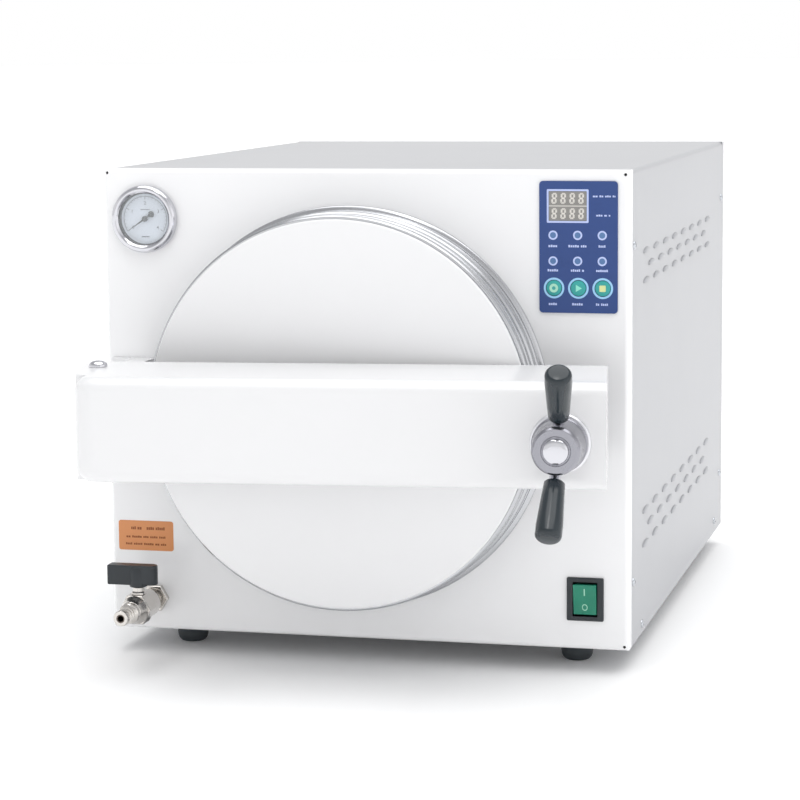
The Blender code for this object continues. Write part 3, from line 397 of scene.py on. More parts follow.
# cabinet
panelLow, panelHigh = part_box("front_panel")
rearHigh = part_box("rear_panel")[1]
coverLow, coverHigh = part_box("wrap_cover")
cabinet = {
    "x": (panelLow[0] + panelHigh[0]) / 2,
    "frontY": panelLow[1],
    "rearY": rearHigh[1],
    "bottomZ": panelLow[2],
    "width": 1000 * (panelHigh[0] - panelLow[0]),
    "height": 1000 * (panelHigh[2] - panelLow[2]),
    "panDepth": 16,
    "sheet": 1.5,
    "bend": 4.0,
    "relief": 1.25,  # radius of the hole where two bends meet
    "reliefOut": 0.6,  # how far that hole's centre lies outside the start of the bends
    "screwRadius": 3.6, "screwRise": 1.9,
    "sideScrews": ((23, 334), (23, 54), (577, 340), (577, 56), (70, 8), (539, 12)),
    "rearScrewsX": (-205, 0, 205), "rearScrewsZ": (20, 376),
}
vents = {"length": 30, "height": 4, "pitch": 55, "start": 74, "rows": (324, 312, 299, 103, 89, 74), "rise": 2.3,
         "perRow": 8, "perStaggeredRow": 7}


def foldedPan(holes):
    # a shallow pan with its bends in front, open at the back, and a relief hole at each corner
    halfWidth, height, depth = cabinet["width"] / 2, cabinet["height"], cabinet["panDepth"]
    sheet, bend = cabinet["sheet"], cabinet["bend"]
    outer = boxed((-halfWidth, 0, -depth), (halfWidth, height, 0), bend, lambda at: at.z > -1e-6, 8)
    inner = boxed((-halfWidth + sheet, sheet, -depth - 10), (halfWidth - sheet, height - sheet, -sheet),
                  bend - sheet, lambda at: at.z > -sheet - 1e-6, 8)
    reliefs = []
    for side in (-1, 1):
        for level in (bend - cabinet["reliefOut"], height - bend + cabinet["reliefOut"]):
            hole = discShape(cabinet["relief"], -6, 6, 24)
            reliefs.append(shifted(hole, side * (halfWidth - bend + cabinet["reliefOut"]), level))
    return carved(outer, [inner, *reliefs, *holes])


def makeFrontPanel():
    place = facing(cabinet["x"], cabinet["frontY"], cabinet["bottomZ"])
    holes = []
    openings = ("drain_nut", "gauge_dial", "keypad_fascia", "switch_body")
    nut, dial, keys, power = (middle(node) for node in openings)
    cuts = [(chamberAxis, discShape(128.2, -20, 20, 96)), (nut, discShape(7, -20, 20)),
        (dial, discShape(25.2, -20, 20)),
            (keys, roundedPlate(58.5, 101.3, 3, -20, 20)), (power, roundedPlate(26.8, 32.4, 1, -20, 20))]
    for at, cutter in cuts:
        holes.append(shifted(cutter, 1000 * (at[0] - cabinet["x"]), 1000 * (at[2] - cabinet["bottomZ"])))
    addPiece("panelSheet", foldedPan(holes), "panel", "cabinet", place, ["front_panel"])


def makeRearPanel():
    place = rearFacing(cabinet["x"], cabinet["rearY"], cabinet["bottomZ"])
    inlet = middle("mains_inlet")
    x, z = -1000 * (inlet.x - cabinet["x"]), 1000 * (inlet.z - cabinet["bottomZ"])
    hole = shifted(roundedPlate(27.6, 20.6, 1, -20, 20), x, z)
    addPiece("rearSheet", foldedPan([hole]), "cover", "cabinet", place, ["rear_panel"])


def ventPlaces():
    for row, level in enumerate(vents["rows"]):
        staggered = row % 3 == 1
        for i in range(vents["perStaggeredRow"] if staggered else vents["perRow"]):
            yield vents["start"] + vents["pitch"] * (i + (0.5 if staggered else 0)) + vents["length"] / 2, level


def makeCover():
    # roof and sides in one sheet, with a slot under each pressed louvre
    halfWidth, height, sheet, bend = cabinet["width"] / 2, cabinet["height"], cabinet["sheet"], cabinet["bend"]
    low, high = 1000 * (coverLow[1] - cabinet["frontY"]), 1000 * (coverHigh[1] - cabinet["frontY"])
    atTop = lambda at: at.z > height - 1e-6 and abs(at.x) > halfWidth - 1e-6
    outer = boxed((-halfWidth, low, 0), (halfWidth, high, height), bend, atTop, 8)
    innerTop = lambda at: at.z > height - sheet - 1e-6 and abs(at.x) > halfWidth / 2
    inner = boxed((-halfWidth + sheet, low - 10, -10), (halfWidth - sheet, high + 10, height - sheet),
        bend - sheet, innerTop, 8)
    reach, half = halfWidth + 9, vents["length"] / 2 - 1
    slots = gathered(boxed((-reach, y - half, z - 1.2), (reach, y + half, z + 1.2)) for y, z in ventPlaces())
    place = Matrix.Translation((cabinet["x"], cabinet["frontY"], cabinet["bottomZ"]))
    addPiece("coverSheet", carved(outer, [inner, slots]), "cover", "cabinet", place, ["wrap_cover"])
    hoods = []
    for side in (-1, 1):
        for y, z in ventPlaces():
            hoods.append(louvre(side, side * halfWidth, y, z))
    addPiece("coverLouvres", gathered(hoods), "cover", "cabinet", place, sharpDeg=60)


def louvre(side, x, y, z):
    # the upper half of a long flat dome, open along its lower edge
    bm = bmesh.new()
    stretch = Matrix.Diagonal((vents["rise"], vents["length"] / 2 + 1.5, vents["height"] * 0.95, 1))
    bmesh.ops.create_uvsphere(bm, u_segments=10, v_segments=8, radius=1,
        matrix=stretch @ Matrix.Rotation(math.pi / 2, 4, "X"))
    for point, normal in (((side * -0.2, 0, 0), (-side, 0, 0)), ((0, 0, -0.6), (0, 0, -1))):
        everything = [*bm.verts, *bm.edges, *bm.faces]
        bmesh.ops.bisect_plane(bm, geom=everything, plane_co=point, plane_no=normal, clear_outer=True)
    bmesh.ops.solidify(bm, geom=bm.faces, thickness=0.45)
    return shifted(bm, x, y, z)


def screwHead(radius, rise):
    # a low domed head with a cross recess
    dome = spun([(0, -0.5), (radius, -0.5), (radius, rise * 0.25), (radius * 0.86, rise * 0.65),
        (radius * 0.5, rise * 0.93), (0, rise)], 32)
    arms = [boxed((-radius * 0.52, -radius * 0.11, rise * 0.35), (radius * 0.52, radius * 0.11, rise + 1)),
            boxed((-radius * 0.11, -radius * 0.52, rise * 0.35), (radius * 0.11, radius * 0.52, rise + 1))]
    return carved(dome, arms)


def makeCabinetScrews():
    halfWidth = cabinet["width"] / 2
    radius, rise = cabinet["screwRadius"], cabinet["screwRise"]
    heads = []
    for side in (-1, 1):
        for y, z in cabinet["sideScrews"]:
            turn = Matrix.Rotation(side * math.pi / 2, 4, "Y") @ Matrix.Rotation(math.radians(20 + y), 4, "Z")
            heads.append(moved(screwHead(radius, rise), Matrix.Translation((side * halfWidth, y, z)) @ turn))
    depth = 1000 * (cabinet["rearY"] - cabinet["frontY"])
    for x in cabinet["rearScrewsX"]:
        for z in cabinet["rearScrewsZ"]:
            turn = Matrix.Rotation(-math.pi / 2, 4, "X") @ Matrix.Rotation(math.radians(35 + x), 4, "Z")
            heads.append(moved(screwHead(radius, rise), Matrix.Translation((x, depth, z)) @ turn))
    place = Matrix.Translation((cabinet["x"], cabinet["frontY"], cabinet["bottomZ"]))
    addPiece("cabinetScrews", gathered(heads), "screwZinc", "cabinet", place)


def makeFeet():
    profile = [(0, -0.3), (16.5, -0.3), (16.5, -6.0), (15.6, -7.0), (13.4, -8.2), (13.0, -9.4), (13.6, -13.0),
        (13.2, -16.0),
               (12.2, -18.6), (10.6, -20.4), (9.4, -21.0), (0, -21.0)]
    for end in ("front_left", "front_right", "rear_left", "rear_right"):
        at = middle("foot_" + end)
        addPiece("rubberFoot." + end, spun(profile, 48), "rubber", "cabinet",
                 Matrix.Translation((at.x, at.y, cabinet["bottomZ"])), ["foot_" + end],
                 edgeMm=0.5)


makeFrontPanel()
makeRearPanel()
makeCover()
makeCabinetScrews()
makeFeet()
print("cabinet made")


# chamber and door
vessel = {
    "bore": 125, "shell": 2.5, "lip": 169.3, "flange": 165.5, "flangeFront": 24,
    "doorBack": 25, "dishFront": 45.2, "door": 164, "face": 161, "faceFront": 49.6,
    "gasketIn": 129.7, "gasketOut": 142.3,
}


def doorPlace():
    return facing(chamberAxis[0], cabinet["frontY"], chamberAxis[2])


def makeChamber():
    bore, outer, mouth = vessel["bore"], vessel["bore"] + vessel["shell"], vessel["flangeFront"] - 0.3
    dished = [(0, -527.5), (30, -526), (60, -522.5), (86, -516), (105, -508.5), (117, -499), (bore, -484)]
    wall = [(bore, mouth - 1.2), (bore + 1.2, mouth), (outer, mouth), (outer, -484), (107, -513), (61, -526),
        (0, -530)]
    addPiece("chamberShell", spun(dished + wall, 128), "chamberSteel", "cabinet", doorPlace(), ["chamber"])
    lip, rim, front, inner = vessel["lip"], vessel["flange"], vessel["flangeFront"], outer + 0.3
    ring = [(inner, 0.3), (lip, 0.3), (lip, 2.2), (lip - 1.2, 3.4), (rim, 4.2), (rim, 8.6), (rim - 1.1, 9.4),
        (rim - 1.1, 13.2),
            (rim, 14.0), (rim, front - 1.6), (rim - 1.6, front), (146, front), (145.2, front - 0.6),
            (144.4, front), (inner, front)]
    addPiece("flangeRing", spun(ring, 160), "ring", "cabinet", doorPlace(), ["chamber_flange"],
        edgeMm=0.35)


def makeDoor():
    back, front, radius = vessel["doorBack"], vessel["dishFront"], vessel["door"]
    dish = [
        (0, back), (60, back), (62, back + 1.2), (64, back), (vessel["gasketIn"], back),
        (vessel["gasketIn"], back + 4),
        (vessel["gasketOut"], back + 4), (vessel["gasketOut"], back), (radius - 1.6, back),
        (radius, back + 1.6),
        (radius, back + 6.5), (radius - 1.0, back + 7.3), (radius - 1.0, back + 10.5), (radius, back + 11.3),
        (radius, front - 1.4), (radius - 1.4, front), (radius - 8, front), (radius - 8, 33), (0, 33),
    ]
    addPiece("doorDish", spun(dish, 160), "ring", "bar", doorPlace(), ["door_dish"],
        edgeMm=0.35)
    inner, outer = vessel["gasketIn"] + 0.3, vessel["gasketOut"] - 0.3
    seal = [(inner, 24.9), (inner + 1.4, 24.3), (outer - 1.4, 24.3), (outer, 24.9), (outer, back + 3.7),
        (inner, back + 3.7)]
    addPiece("doorSeal", spun(seal, 128), "silicone", "bar", doorPlace(), ["door_gasket"])
    face, top = vessel["face"], vessel["faceFront"]
    plate = [(0, 45.5), (face - 2, 45.5), (face, 47.0), (face, top - 1.4),
        *roundArc(face - 1.4, top - 1.4, 1.4, 0, 90, 5), (0, top)]
    addPiece("doorFacePlate", spun(plate, 160), "door", "bar", doorPlace(), ["door_face"])
    ball = roundArc(0, 157, 12, -45, 90, 16)[:-1]
    pivot = [(0, 49.9), (30, 49.9), (30, 54.5), (28.6, 56), (12, 59), (9, 62), (8.5, 66), (8.5, 146), *ball,
        (0, 169)]
    addPiece("pivotStem", spun(pivot, 64), "hub", "bar", doorPlace(), ["door_pivot"])


makeChamber()
makeDoor()
cadFinishes = {
    "heating_element": "blackened", "heater_guard": "traySteel", "tray_rack": "traySteel",
    "tray_lower": "traySteel", "tray_middle": "traySteel", "tray_upper": "traySteel",
    "insulation_jacket": "wool", "front_saddle": "zinc", "rear_saddle": "zinc", "base_pan": "cover",
    "control_board": "board", "solenoid_valve": "brass", "drain_pipe": "copper", "gauge_tube": "copper",
    "drain_ball": "traySteel", "pivot_socket": "hub", "gauge_case": "blackened", "hinge_bracket": "bar",
    "catch_post": "hub", "spindle_nut": "blackened",
}
for node, finish in cadFinishes.items():
    frame["nodes"][node].data.materials.clear()
    frame["nodes"][node].data.materials.append(finishes[finish])
print("chamber and door made")


# closing bar
forward = Vector(joints["handle_turn"]["axis"]).normalized()
alongBar = Vector((-forward.y, forward.x, 0))
hingePoint = Vector(joints["bar_swing"]["pos_m"])
bar = {
    "left": -15.4, "right": 414.1, "front": -72.6, "back": 35.4, "sheet": 2.5, "bend": 11, "corner": 21,
    "tail": 22,
    "slant": 10.5, "endSlant": 6, "doorway": -22.6, "pinHole": 6.3, "screwHole": 8.3, "height": 83.5,
}


def barPlace():
    # local x along the bar, y to the back, z up, with the hinge pin as origin at the bar's underside
    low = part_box("closing_bar")[0]
    place = Matrix.Translation((hingePoint.x, hingePoint.y, low[2]))
    for column, direction in enumerate((alongBar, -forward, Vector((0, 0, 1)))):
        place.col[column][:3] = direction
    return place


def screwPlace():
    # local z out of the screw towards the user, y up
    place = Matrix.Translation(screwPoint)
    for column, direction in enumerate((alongBar, Vector((0, 0, 1)), forward)):
        place.col[column][:3] = direction
    return place


def barSkin():
    # the outer sheet: front, flanges and right end, round at the hinge and open at the back
    shoulder, corner = bar["left"] + bar["slant"], bar["corner"]
    outline = roundArc(shoulder + corner, bar["front"] + corner, corner, 270, 180, 16)
    run = bar["back"] - bar["tail"] - bar["front"] - corner
    part = (bar["doorway"] - bar["front"] - corner) / run
    outline.append((shoulder - bar["slant"] * part, bar["doorway"]))
    outline += roundArc(bar["left"] + bar["tail"], bar["back"] - bar["tail"], bar["tail"], 180, 90, 14)
    outline += [(bar["right"] - bar["endSlant"], bar["back"]), (bar["right"], bar["front"])]
    bm = extruded(outline, 0, bar["height"])
    bmesh.ops.recalc_face_normals(bm, faces=bm.faces)
    openSides = []
    for face in bm.faces:
        at = face.calc_center_median()
        if abs(face.normal.z) < 0.5 and at.y > bar["doorway"] and at.x < bar["right"] - bar["endSlant"]:
            openSides.append(face)
    bmesh.ops.delete(bm, geom=openSides, context="FACES")
    roundEnd = bar["front"] + corner + 0.001
    bends = [edge for edge in bm.edges if abs(edge.verts[0].co.z - edge.verts[1].co.z) < 1e-4
             and all(vert.co.y < roundEnd for vert in edge.verts)]
    bmesh.ops.bevel(bm, geom=bends, offset=bar["bend"], affect="EDGES", segments=10, profile=0.5, material=-1)
    return bm


def makeClosingBar():
    pinCut = spun([(0, -5), (bar["pinHole"], -5), (bar["pinHole"], 90), (0, 90)], 48)
    towardsUser = Matrix.Rotation(math.pi / 2, 4, "X")
    screwCut = spun([(0, -10), (bar["screwHole"], -10), (bar["screwHole"], 10), (0, 10)], 48)
    reach = Vector(screwPoint) - hingePoint
    level = 1000 * (screwPoint[2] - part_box("closing_bar")[0][2])
    moved(screwCut, Matrix.Translation((1000 * reach.dot(alongBar), bar["front"], level)) @ towardsUser)
    sheet = carved(barSkin(), [pinCut, screwCut], bar["sheet"])
    addPiece("closingBarSheet", sheet, "bar", "bar", barPlace(), ["closing_bar"], sharpDeg=30)
    pin = [(0, -4), (6, -4), (6, 83.8), (7.5, 83.8), (7.5, 85.0), (7.1, 86.2), (6.0, 87.4), (4.2, 88.3),
        (2.0, 88.7), (0, 88.8)]
    addPiece("hingePinHead", spun(pin, 48), "chrome", "bar", barPlace(), ["hinge_pin"])


def makeBracketBolts():
    bracketLow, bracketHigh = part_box("hinge_bracket")
    bolts = []
    for level in (8, 98):
        head = [(0, -0.3), (4.2, -0.3), (4.2, 1.2), (3.4, 2.4), (1.8, 3.0), (0, 3.1)]
        bolts.append(shifted(spun(head, 32), -13, level, 5))
    place = facing(bracketHigh[0], cabinet["frontY"], bracketLow[2])
    addPiece("bracketBolts", gathered(bolts), "screwZinc", "cabinet", place)


makeClosingBar()
makeBracketBolts()
print("closing bar made")


# screw handle
handle = {"turnDeg": -3.6, "leanDeg": 40, "rootUp": 13, "rootOut": 24, "gripStart": 16, "gripLength": 49,
          "gripThin": 8.0, "gripThick": 10.3, "arm": 4.5, "hubRadius": 21.5, "hubFace": 18.2, "hubFront": 43}


def makeHandle():
    place = screwPlace()
    disc = [(8.3, 0.3), (23.5, 0.3), (23.5, 2.6), (22.3, 3.8), (8.3, 3.8)]
    addPiece("thrustPlate", spun(disc, 96), "disc", "bar", place, ["thrust_disc"],
        edgeMm=0.3)
    shaft = [(0, -106), (5, -106), (7, -104), (7, 30), (0, 30)]
    addPiece("screwShaft", spun(shaft, 48), "disc", "screw", place, ["spindle"], edgeMm=0.3)
    turned = place @ Matrix.Rotation(math.radians(handle["turnDeg"]), 4, "Z")
    radius, face, front = handle["hubRadius"], handle["hubFace"], handle["hubFront"]
    hub = [(0, 30.3), (7.3, 30.3), (7.3, 4.2), (radius, 4.2), (radius, 11.2), (radius - 0.9, 12.2),
        (face + 0.6, front - 3.5),
           (face, front - 1.6), (face - 1.6, front), (11.5, front), (10.9, front - 0.5), (10.3, front),
           (0, front)]
    addPiece("handleHub", spun(hub, 96), "hub", "handle", turned, ["handle_hub"], edgeMm=0.3)
    cap = [(0, front + 0.3), (9.8, front + 0.3), (9.8, front + 1.5), (9.2, front + 2.5), (8.0, front + 3.2),
        (5.5, front + 3.6), (0, front + 3.8)]
    addPiece("hubCap", spun(cap, 64), "chrome", "handle", turned, ["hub_cap"])
    start, length, thin, thick = handle["gripStart"], handle["gripLength"], handle["gripThin"], handle["gripThick"]
    arm = [(0, -1), (handle["arm"], -1), (handle["arm"], start + 8), (0, start + 8)]
    end = start + length
    grip = [(0, start + 1), (handle["arm"], start + 1), (handle["arm"] + 0.6, start), (thin - 0.8, start),
        (thin, start + 0.8),
            (thin + 0.9, start + 14), (thick - 0.4, end - 18), (thick, end - 12), (thick - 0.1, end - 8),
            *roundArc(thick - 4.6, end - 4.5, 4.5, 0, 75, 8), (0, end)]
    arms = []
    for side, label in ((1, "upper"), (-1, "lower")):
        lean = Matrix.Rotation(-side * math.radians(90 - handle["leanDeg"]), 4, "X")
        root = Matrix.Translation((0, side * handle["rootUp"], handle["rootOut"])) @ lean
        arms.append(moved(spun(arm, 40), root))
        gripPlace = turned @ Matrix.Scale(0.001, 4) @ root @ Matrix.Scale(1000, 4)
        addPiece(label + "GripMoulding", spun(grip, 64), "grip", "handle", gripPlace, [label + "_grip"],
            sharpDeg=50)
    addPiece("handleArms", gathered(arms), "chrome", "handle", turned, edgeMm=0.4)


makeHandle()
print("handle made")


# pressure gauge
gauge = {"bezel": 28.5, "dial": 22.3, "zeroDeg": 214, "sweepDeg": 248, "ticks": 24, "numbers": 5}


def makeGauge():
    centre = joints["needle_turn"]["pos_m"]
    place = facing(*centre)
    outer, dial = gauge["bezel"], gauge["dial"]
    bezel = [(25.1, 0.3), (outer - 0.6, 0.3), (outer, 1.0), (outer, 4.6), (outer - 0.4, 5.8),
        (outer - 1.4, 7.0), (outer - 2.6, 7.8),
             (outer - 3.7, 8.0), (outer - 4.6, 7.6), (dial + 0.9, 6.9), (dial, 6.1), (dial + 0.4, 5.9),
             (24.0, 5.9), (24.0, 3.4), (25.1, 3.4)]
    addPiece("gaugeBezelRing", spun(bezel, 96), "chrome", "cabinet", place, ["gauge_bezel"])
    plate = [(1.4, -0.3), (23.1, -0.3), (23.1, 0.5), (1.4, 0.5)]
    addPiece("gaugeDialPlate", spun(plate, 96), "dial", "cabinet", place, ["gauge_dial"])
    rim = [(21.2, 0.5), (23.2, 0.5), (23.2, 4.2), (22.5, 4.2), (22.3, 1.2)]
    addPiece("gaugeInnerRim", spun(rim, 96), "blackened", "cabinet", place)
    glass = [(0, 4.4), (23.7, 4.4), (23.7, 5.7), (20.5, 5.85), (0, 6.0)]
    addPiece("gaugeGlassDisc", spun(glass, 96), "glass", "cabinet", place, ["gauge_glass"])
    marks = []
    step = gauge["sweepDeg"] / gauge["ticks"]
    for i in range(gauge["ticks"] + 1):
        turn = Matrix.Rotation(math.radians(gauge["zeroDeg"] - step * i), 4, "Z")
        long = i % 6 == 0
        tick = boxed((18.6 - (2.4 if long else 1.1), -0.22 if long else -0.13, 0.5),
            (18.6, 0.22 if long else 0.13, 0.58))
        marks.append(moved(tick, turn))
    sweep = roundArc(0, 0, 19.2, gauge["zeroDeg"], gauge["zeroDeg"] - gauge["sweepDeg"], 60)
    sweep += roundArc(0, 0, 18.85, gauge["zeroDeg"] - gauge["sweepDeg"], gauge["zeroDeg"], 60)
    marks.append(extruded(sweep, 0.5, 0.58))
    for i in range(gauge["numbers"]):
        angle = math.radians(gauge["zeroDeg"] - gauge["sweepDeg"] * i / (gauge["numbers"] - 1))
        marks.append(shifted(writtenNumber(str(i), 4.2), 13.2 * math.cos(angle), 13.2 * math.sin(angle), 0.56))
    marks.append(boxed((-3.4, -15.6, 0.5), (3.4, -14.8, 0.58)))
    marks.append(boxed((-4.2, 7.4, 0.5), (4.2, 8.0, 0.58)))
    addPiece("gaugeMarks", gathered(marks), "inkDark", "cabinet", place)
    needlePlace = place @ Matrix.Rotation(math.radians(gauge["zeroDeg"]), 4, "Z")
    outline = [(16.5, -0.12), (16.5, 0.12), (2, 0.75), (-3.4, 0.75), (-5.2, 1.5), (-6.4, 2.9),
        *roundArc(-6.8, 0, 2.9, 80, 280, 8),
               (-6.4, -2.9), (-5.2, -1.5), (-3.4, -0.75), (2, -0.75)]
    boss = spun([(0, -1.2), (0.8, -1.2), (0.8, 1.6), (2.4, 1.6), (2.4, 3.0), (1.9, 3.4), (0, 3.5)], 32)
    addPiece("gaugePointer", gathered([extruded(outline, 2.2, 2.6), boss]), "blackened", "needle",
        needlePlace, ["gauge_needle"])


makeGauge()


# keypad
keypad = {
    "width": 64.5, "height": 107.3, "corner": 3.0, "front": 1.5,
    "display": (-8.8, 33.4, 34.4, 27.2),  # centre x and y, width, height, from the keypad's middle
    "frame": 1.5, "lampColumns": (-20.9, -0.6, 19.6), "lampRows": (9.7, -11.3), "lampRing": (3.8, 2.5),
    "captionRows": (0.9, -18.9, -46.4), "buttonRing": (8.5, 6.8), "ink": 0.06,
}


def segmentDigit(x, y, height):
    # one seven-segment figure, as an 8
    wide, bar = height * 0.5, height * 0.085
    flat, tall = wide - 2.2 * bar, height / 2 - 2.2 * bar
    slabs = [(0, height / 2 - bar, flat, 2 * bar), (0, 0, flat, 2 * bar), (0, bar - height / 2, flat, 2 * bar)]
    for side in (-1, 1):
        slabs += [(side * (wide / 2 - bar), half * height / 4, 2 * bar, tall) for half in (-1, 1)]
    return [boxed((x + cx - w / 2 + cy * 0.08, y + cy - h / 2, 0),
                  (x + cx + w / 2 + cy * 0.08, y + cy + h / 2, 0.08)) for cx, cy, w, h in slabs]


def captionBars(x, y, lengths, height=1.9):
    # rows of small plain blocks in the places of captions, with nothing written in them
    total = sum(lengths) + 1.2 * (len(lengths) - 1)
    start, bars = x - total / 2, []
    for length in lengths:
        count = max(1, round(length / 1.7))
        for i in range(count):
            left, tall = start + i * length / count, height * (0.36 + 0.14 * ((i * 7 + round(length)) % 3 == 0))
            bars.append(boxed((left, y - height / 2, 0),
                (left + length / count - 0.38, y + tall, keypad["ink"])))
        start += length + 1.2
    return bars


def makeKeypad():
    at = middle("keypad_fascia")
    place = facing(at.x, cabinet["frontY"], at.z)
    front, ink = keypad["front"], keypad["ink"]
    cx, cy, wide, high = keypad["display"]
    edge = 2 * keypad["frame"]
    window = shifted(roundedPlate(wide - edge, high - edge, 0.4, -1, 5), cx, cy)
    holes = [window]
    buttonX = [1000 * (middle(key + "_button").x - at.x) for key in ("set", "start", "stop")]
    buttonY = 1000 * (middle("set_button").z - at.z)
    holes += [shifted(discShape(6.6, -1, 5), x, buttonY) for x in buttonX]
    sheet = carved(roundedPlate(keypad["width"], keypad["height"], keypad["corner"], 0.3, front), holes)
    addPiece("keypadFilm", sheet, "keypad", "cabinet", place, ["keypad_fascia"])
    outer = roundedPlate(wide, high, 0.8, front, front + ink)
    border = carved(outer, [roundedPlate(wide - edge, high - edge, 0.4, 0, 5)])
    rings = [shifted(ringShape(*keypad["lampRing"], front, front + ink), x, y)
             for x in keypad["lampColumns"] for y in keypad["lampRows"]]
    captions = captionBars(21.3, 41.4, (4.2, 3.4, 5.0, 2.6), 1.5)
    captions += captionBars(20.6, 25.9, (5.4, 2.4, 1.6), 1.5)
    for row, words in zip(keypad["captionRows"], (((7.5,), (9, 5), (6,)), ((9,), (8, 2), (10,)),
        ((7,), (9,), (3, 6)))):
        for x, lengths in zip(keypad["lampColumns"], words):
            captions += captionBars(x, row, lengths)
    for bars in captions:
        shifted(bars, 0, 0, front)
    addPiece("keypadPrint", gathered([shifted(border, cx, cy), *rings, *captions]), "inkLavender", "cabinet",
        place)
    lamps = [shifted(discShape(keypad["lampRing"][1], front, front + ink * 0.8), x, y)
             for x in keypad["lampColumns"] for y in keypad["lampRows"]]
    addPiece("keypadLamps", gathered(lamps), "lamp", "cabinet", place)
    screen = shifted(roundedPlate(wide - edge - 0.3, high - edge - 0.3, 0.3, -3.9, front - 0.4), cx, cy)
    addPiece("displayFilter", screen, "display", "cabinet", place, ["display_window"])
    digits = []
    for y in (6.2, -6.2):
        for i in range(4):
            digits += segmentDigit(-11.2 + 7.4 * i, y, 8.8)
    digits.append(boxed((-15.6, -0.35, 0), (15.6, 0.35, 0.08)))
    addPiece("displaySegments", shifted(gathered(digits), cx, cy, front - 0.4), "inkSegment", "cabinet",
        place)
    halos = [shifted(ringShape(*keypad["buttonRing"], front, front + ink), x, buttonY) for x in buttonX]
    addPiece("buttonHalos", gathered(halos), "inkSky", "cabinet", place)
    cap = [(0, -3), (4.3, -3), (4.3, -1.2), (6.3, -1.2), (6.3, 1.7), (6.1, 2.1), (5.4, 2.4), (0, 2.6)]
    square = roundedPlate(5.2, 5.2, 0.8, 2.5, 2.68)
    target = carved(discShape(3.6, 2.5, 2.68), [discShape(1.5, 0, 5)])
    triangle = extruded([(-1.9, -2.9), (3.1, 0), (-1.9, 2.9)], 2.5, 2.68)
    for key, icon, ink in (("set", target, "inkPale"), ("start", triangle, "inkMint"),
        ("stop", square, "inkStraw")):
        spot = middle(key + "_button")
        keyPlace = facing(spot.x, cabinet["frontY"], spot.z)
        addPiece(key + "ButtonCap", spun(cap, 48), "buttonTeal", key + "_key", keyPlace, [key + "_button"])
        addPiece(key + "ButtonIcon", icon, ink, key + "_key", keyPlace)


makeKeypad()
print("gauge and keypad made")


# power switch and label
switch = {"width": 30.8, "height": 36.4, "rocker": (19.2, 25.8), "frameRise": 2.2}
label = {"x": -193.85, "z": 81.55, "width": 49.5, "height": 25.9, "corner": 2.2}


def makeSwitch():
    centre = joints["rocker_tilt"]["pos_m"]
    place = facing(*centre)
    wide, high = switch["rocker"]
    frameShape = roundedPlate(switch["width"], switch["height"], 1.2, 0.3, switch["frameRise"])
    rim = [edge for edge in frameShape.edges if all(vert.co.z > switch["frameRise"] - 0.01 for vert in edge.verts)]
    bmesh.ops.bevel(frameShape, geom=rim, offset=0.7, affect="EDGES", segments=3, profile=0.5, material=-1)
    well = roundedPlate(wide + 1.6, high + 3.2, 0.6, -20, 10)
    addPiece("switchFrame", carved(frameShape, [well]), "nylon", "cabinet", place, ["switch_body"])
    cup = carved(roundedPlate(wide + 4, high + 5.4, 0.8, -24, 0.3),
        [roundedPlate(wide + 1.6, high + 3.2, 0.6, -16, 10)])
    addPiece("switchCup", cup, "nylon", "cabinet", place)
    half = high / 2
    side = [(-half, 1.5), (-half * 0.5, 2.75), (0, 4.2), (half * 0.5, 5.2), (half, 6.0), (half - 0.4, -4),
        (0, -9), (-half + 0.4, -4)]
    rocker = extruded(side, -wide / 2, wide / 2)
    moved(rocker, Matrix(((0, 0, 1, 0), (1, 0, 0, 0), (0, 1, 0, 0), (0, 0, 0, 1))))
    addPiece("switchRockerLens", rocker, "rocker", "rocker", place, ["switch_rocker"],
        edgeMm=0.5, sharpDeg=30)
    bar = moved(boxed((-0.45, -2.9, 0), (0.45, 2.9, 0.12)),
        Matrix.Translation((0, half * 0.52, 5.16)) @ Matrix.Rotation(math.radians(7.5), 4, "X"))
    ring = ringShape(2.9, 2.2, 0, 0.12)
    leaned = Matrix.Translation((0, -half * 0.5, 2.72)) @ Matrix.Rotation(math.radians(12.2), 4, "X")
    moved(ring, leaned @ Matrix.Diagonal((0.8, 1, 1, 1)))
    addPiece("switchMarks", gathered([bar, ring]), "inkPale", "rocker", place)


def makeLabel():
    place = facing(cabinet["x"] + label["x"] / 1000, cabinet["frontY"], cabinet["bottomZ"] + label["z"] / 1000)
    addPiece("orangeLabel", roundedPlate(label["width"], label["height"], label["corner"], 0, 0.25), "label",
        "cabinet", place)
    rows = [(-8.5, 6.4, (4.5, 4.0)), (9.0, 6.4, (7.0, 8.5)), (0, -1.2, (4, 9, 5, 7, 6)),
        (0, -7.4, (6, 8, 9, 4, 5))]
    bars = []
    for x, y, lengths in rows:
        bars += captionBars(x, y, lengths, 2.6 if y > 0 else 1.8)
    for piece in bars:
        shifted(piece, 0, 0, 0.25)
    addPiece("labelBars", gathered(bars), "inkBrown", "cabinet", place)


makeSwitch()
makeLabel()


# drain valve
valve = {"stem": 43, "leverLow": 48, "leverHigh": 65, "leverLeft": -26, "leverRight": 17, "leverWide": 12.4}


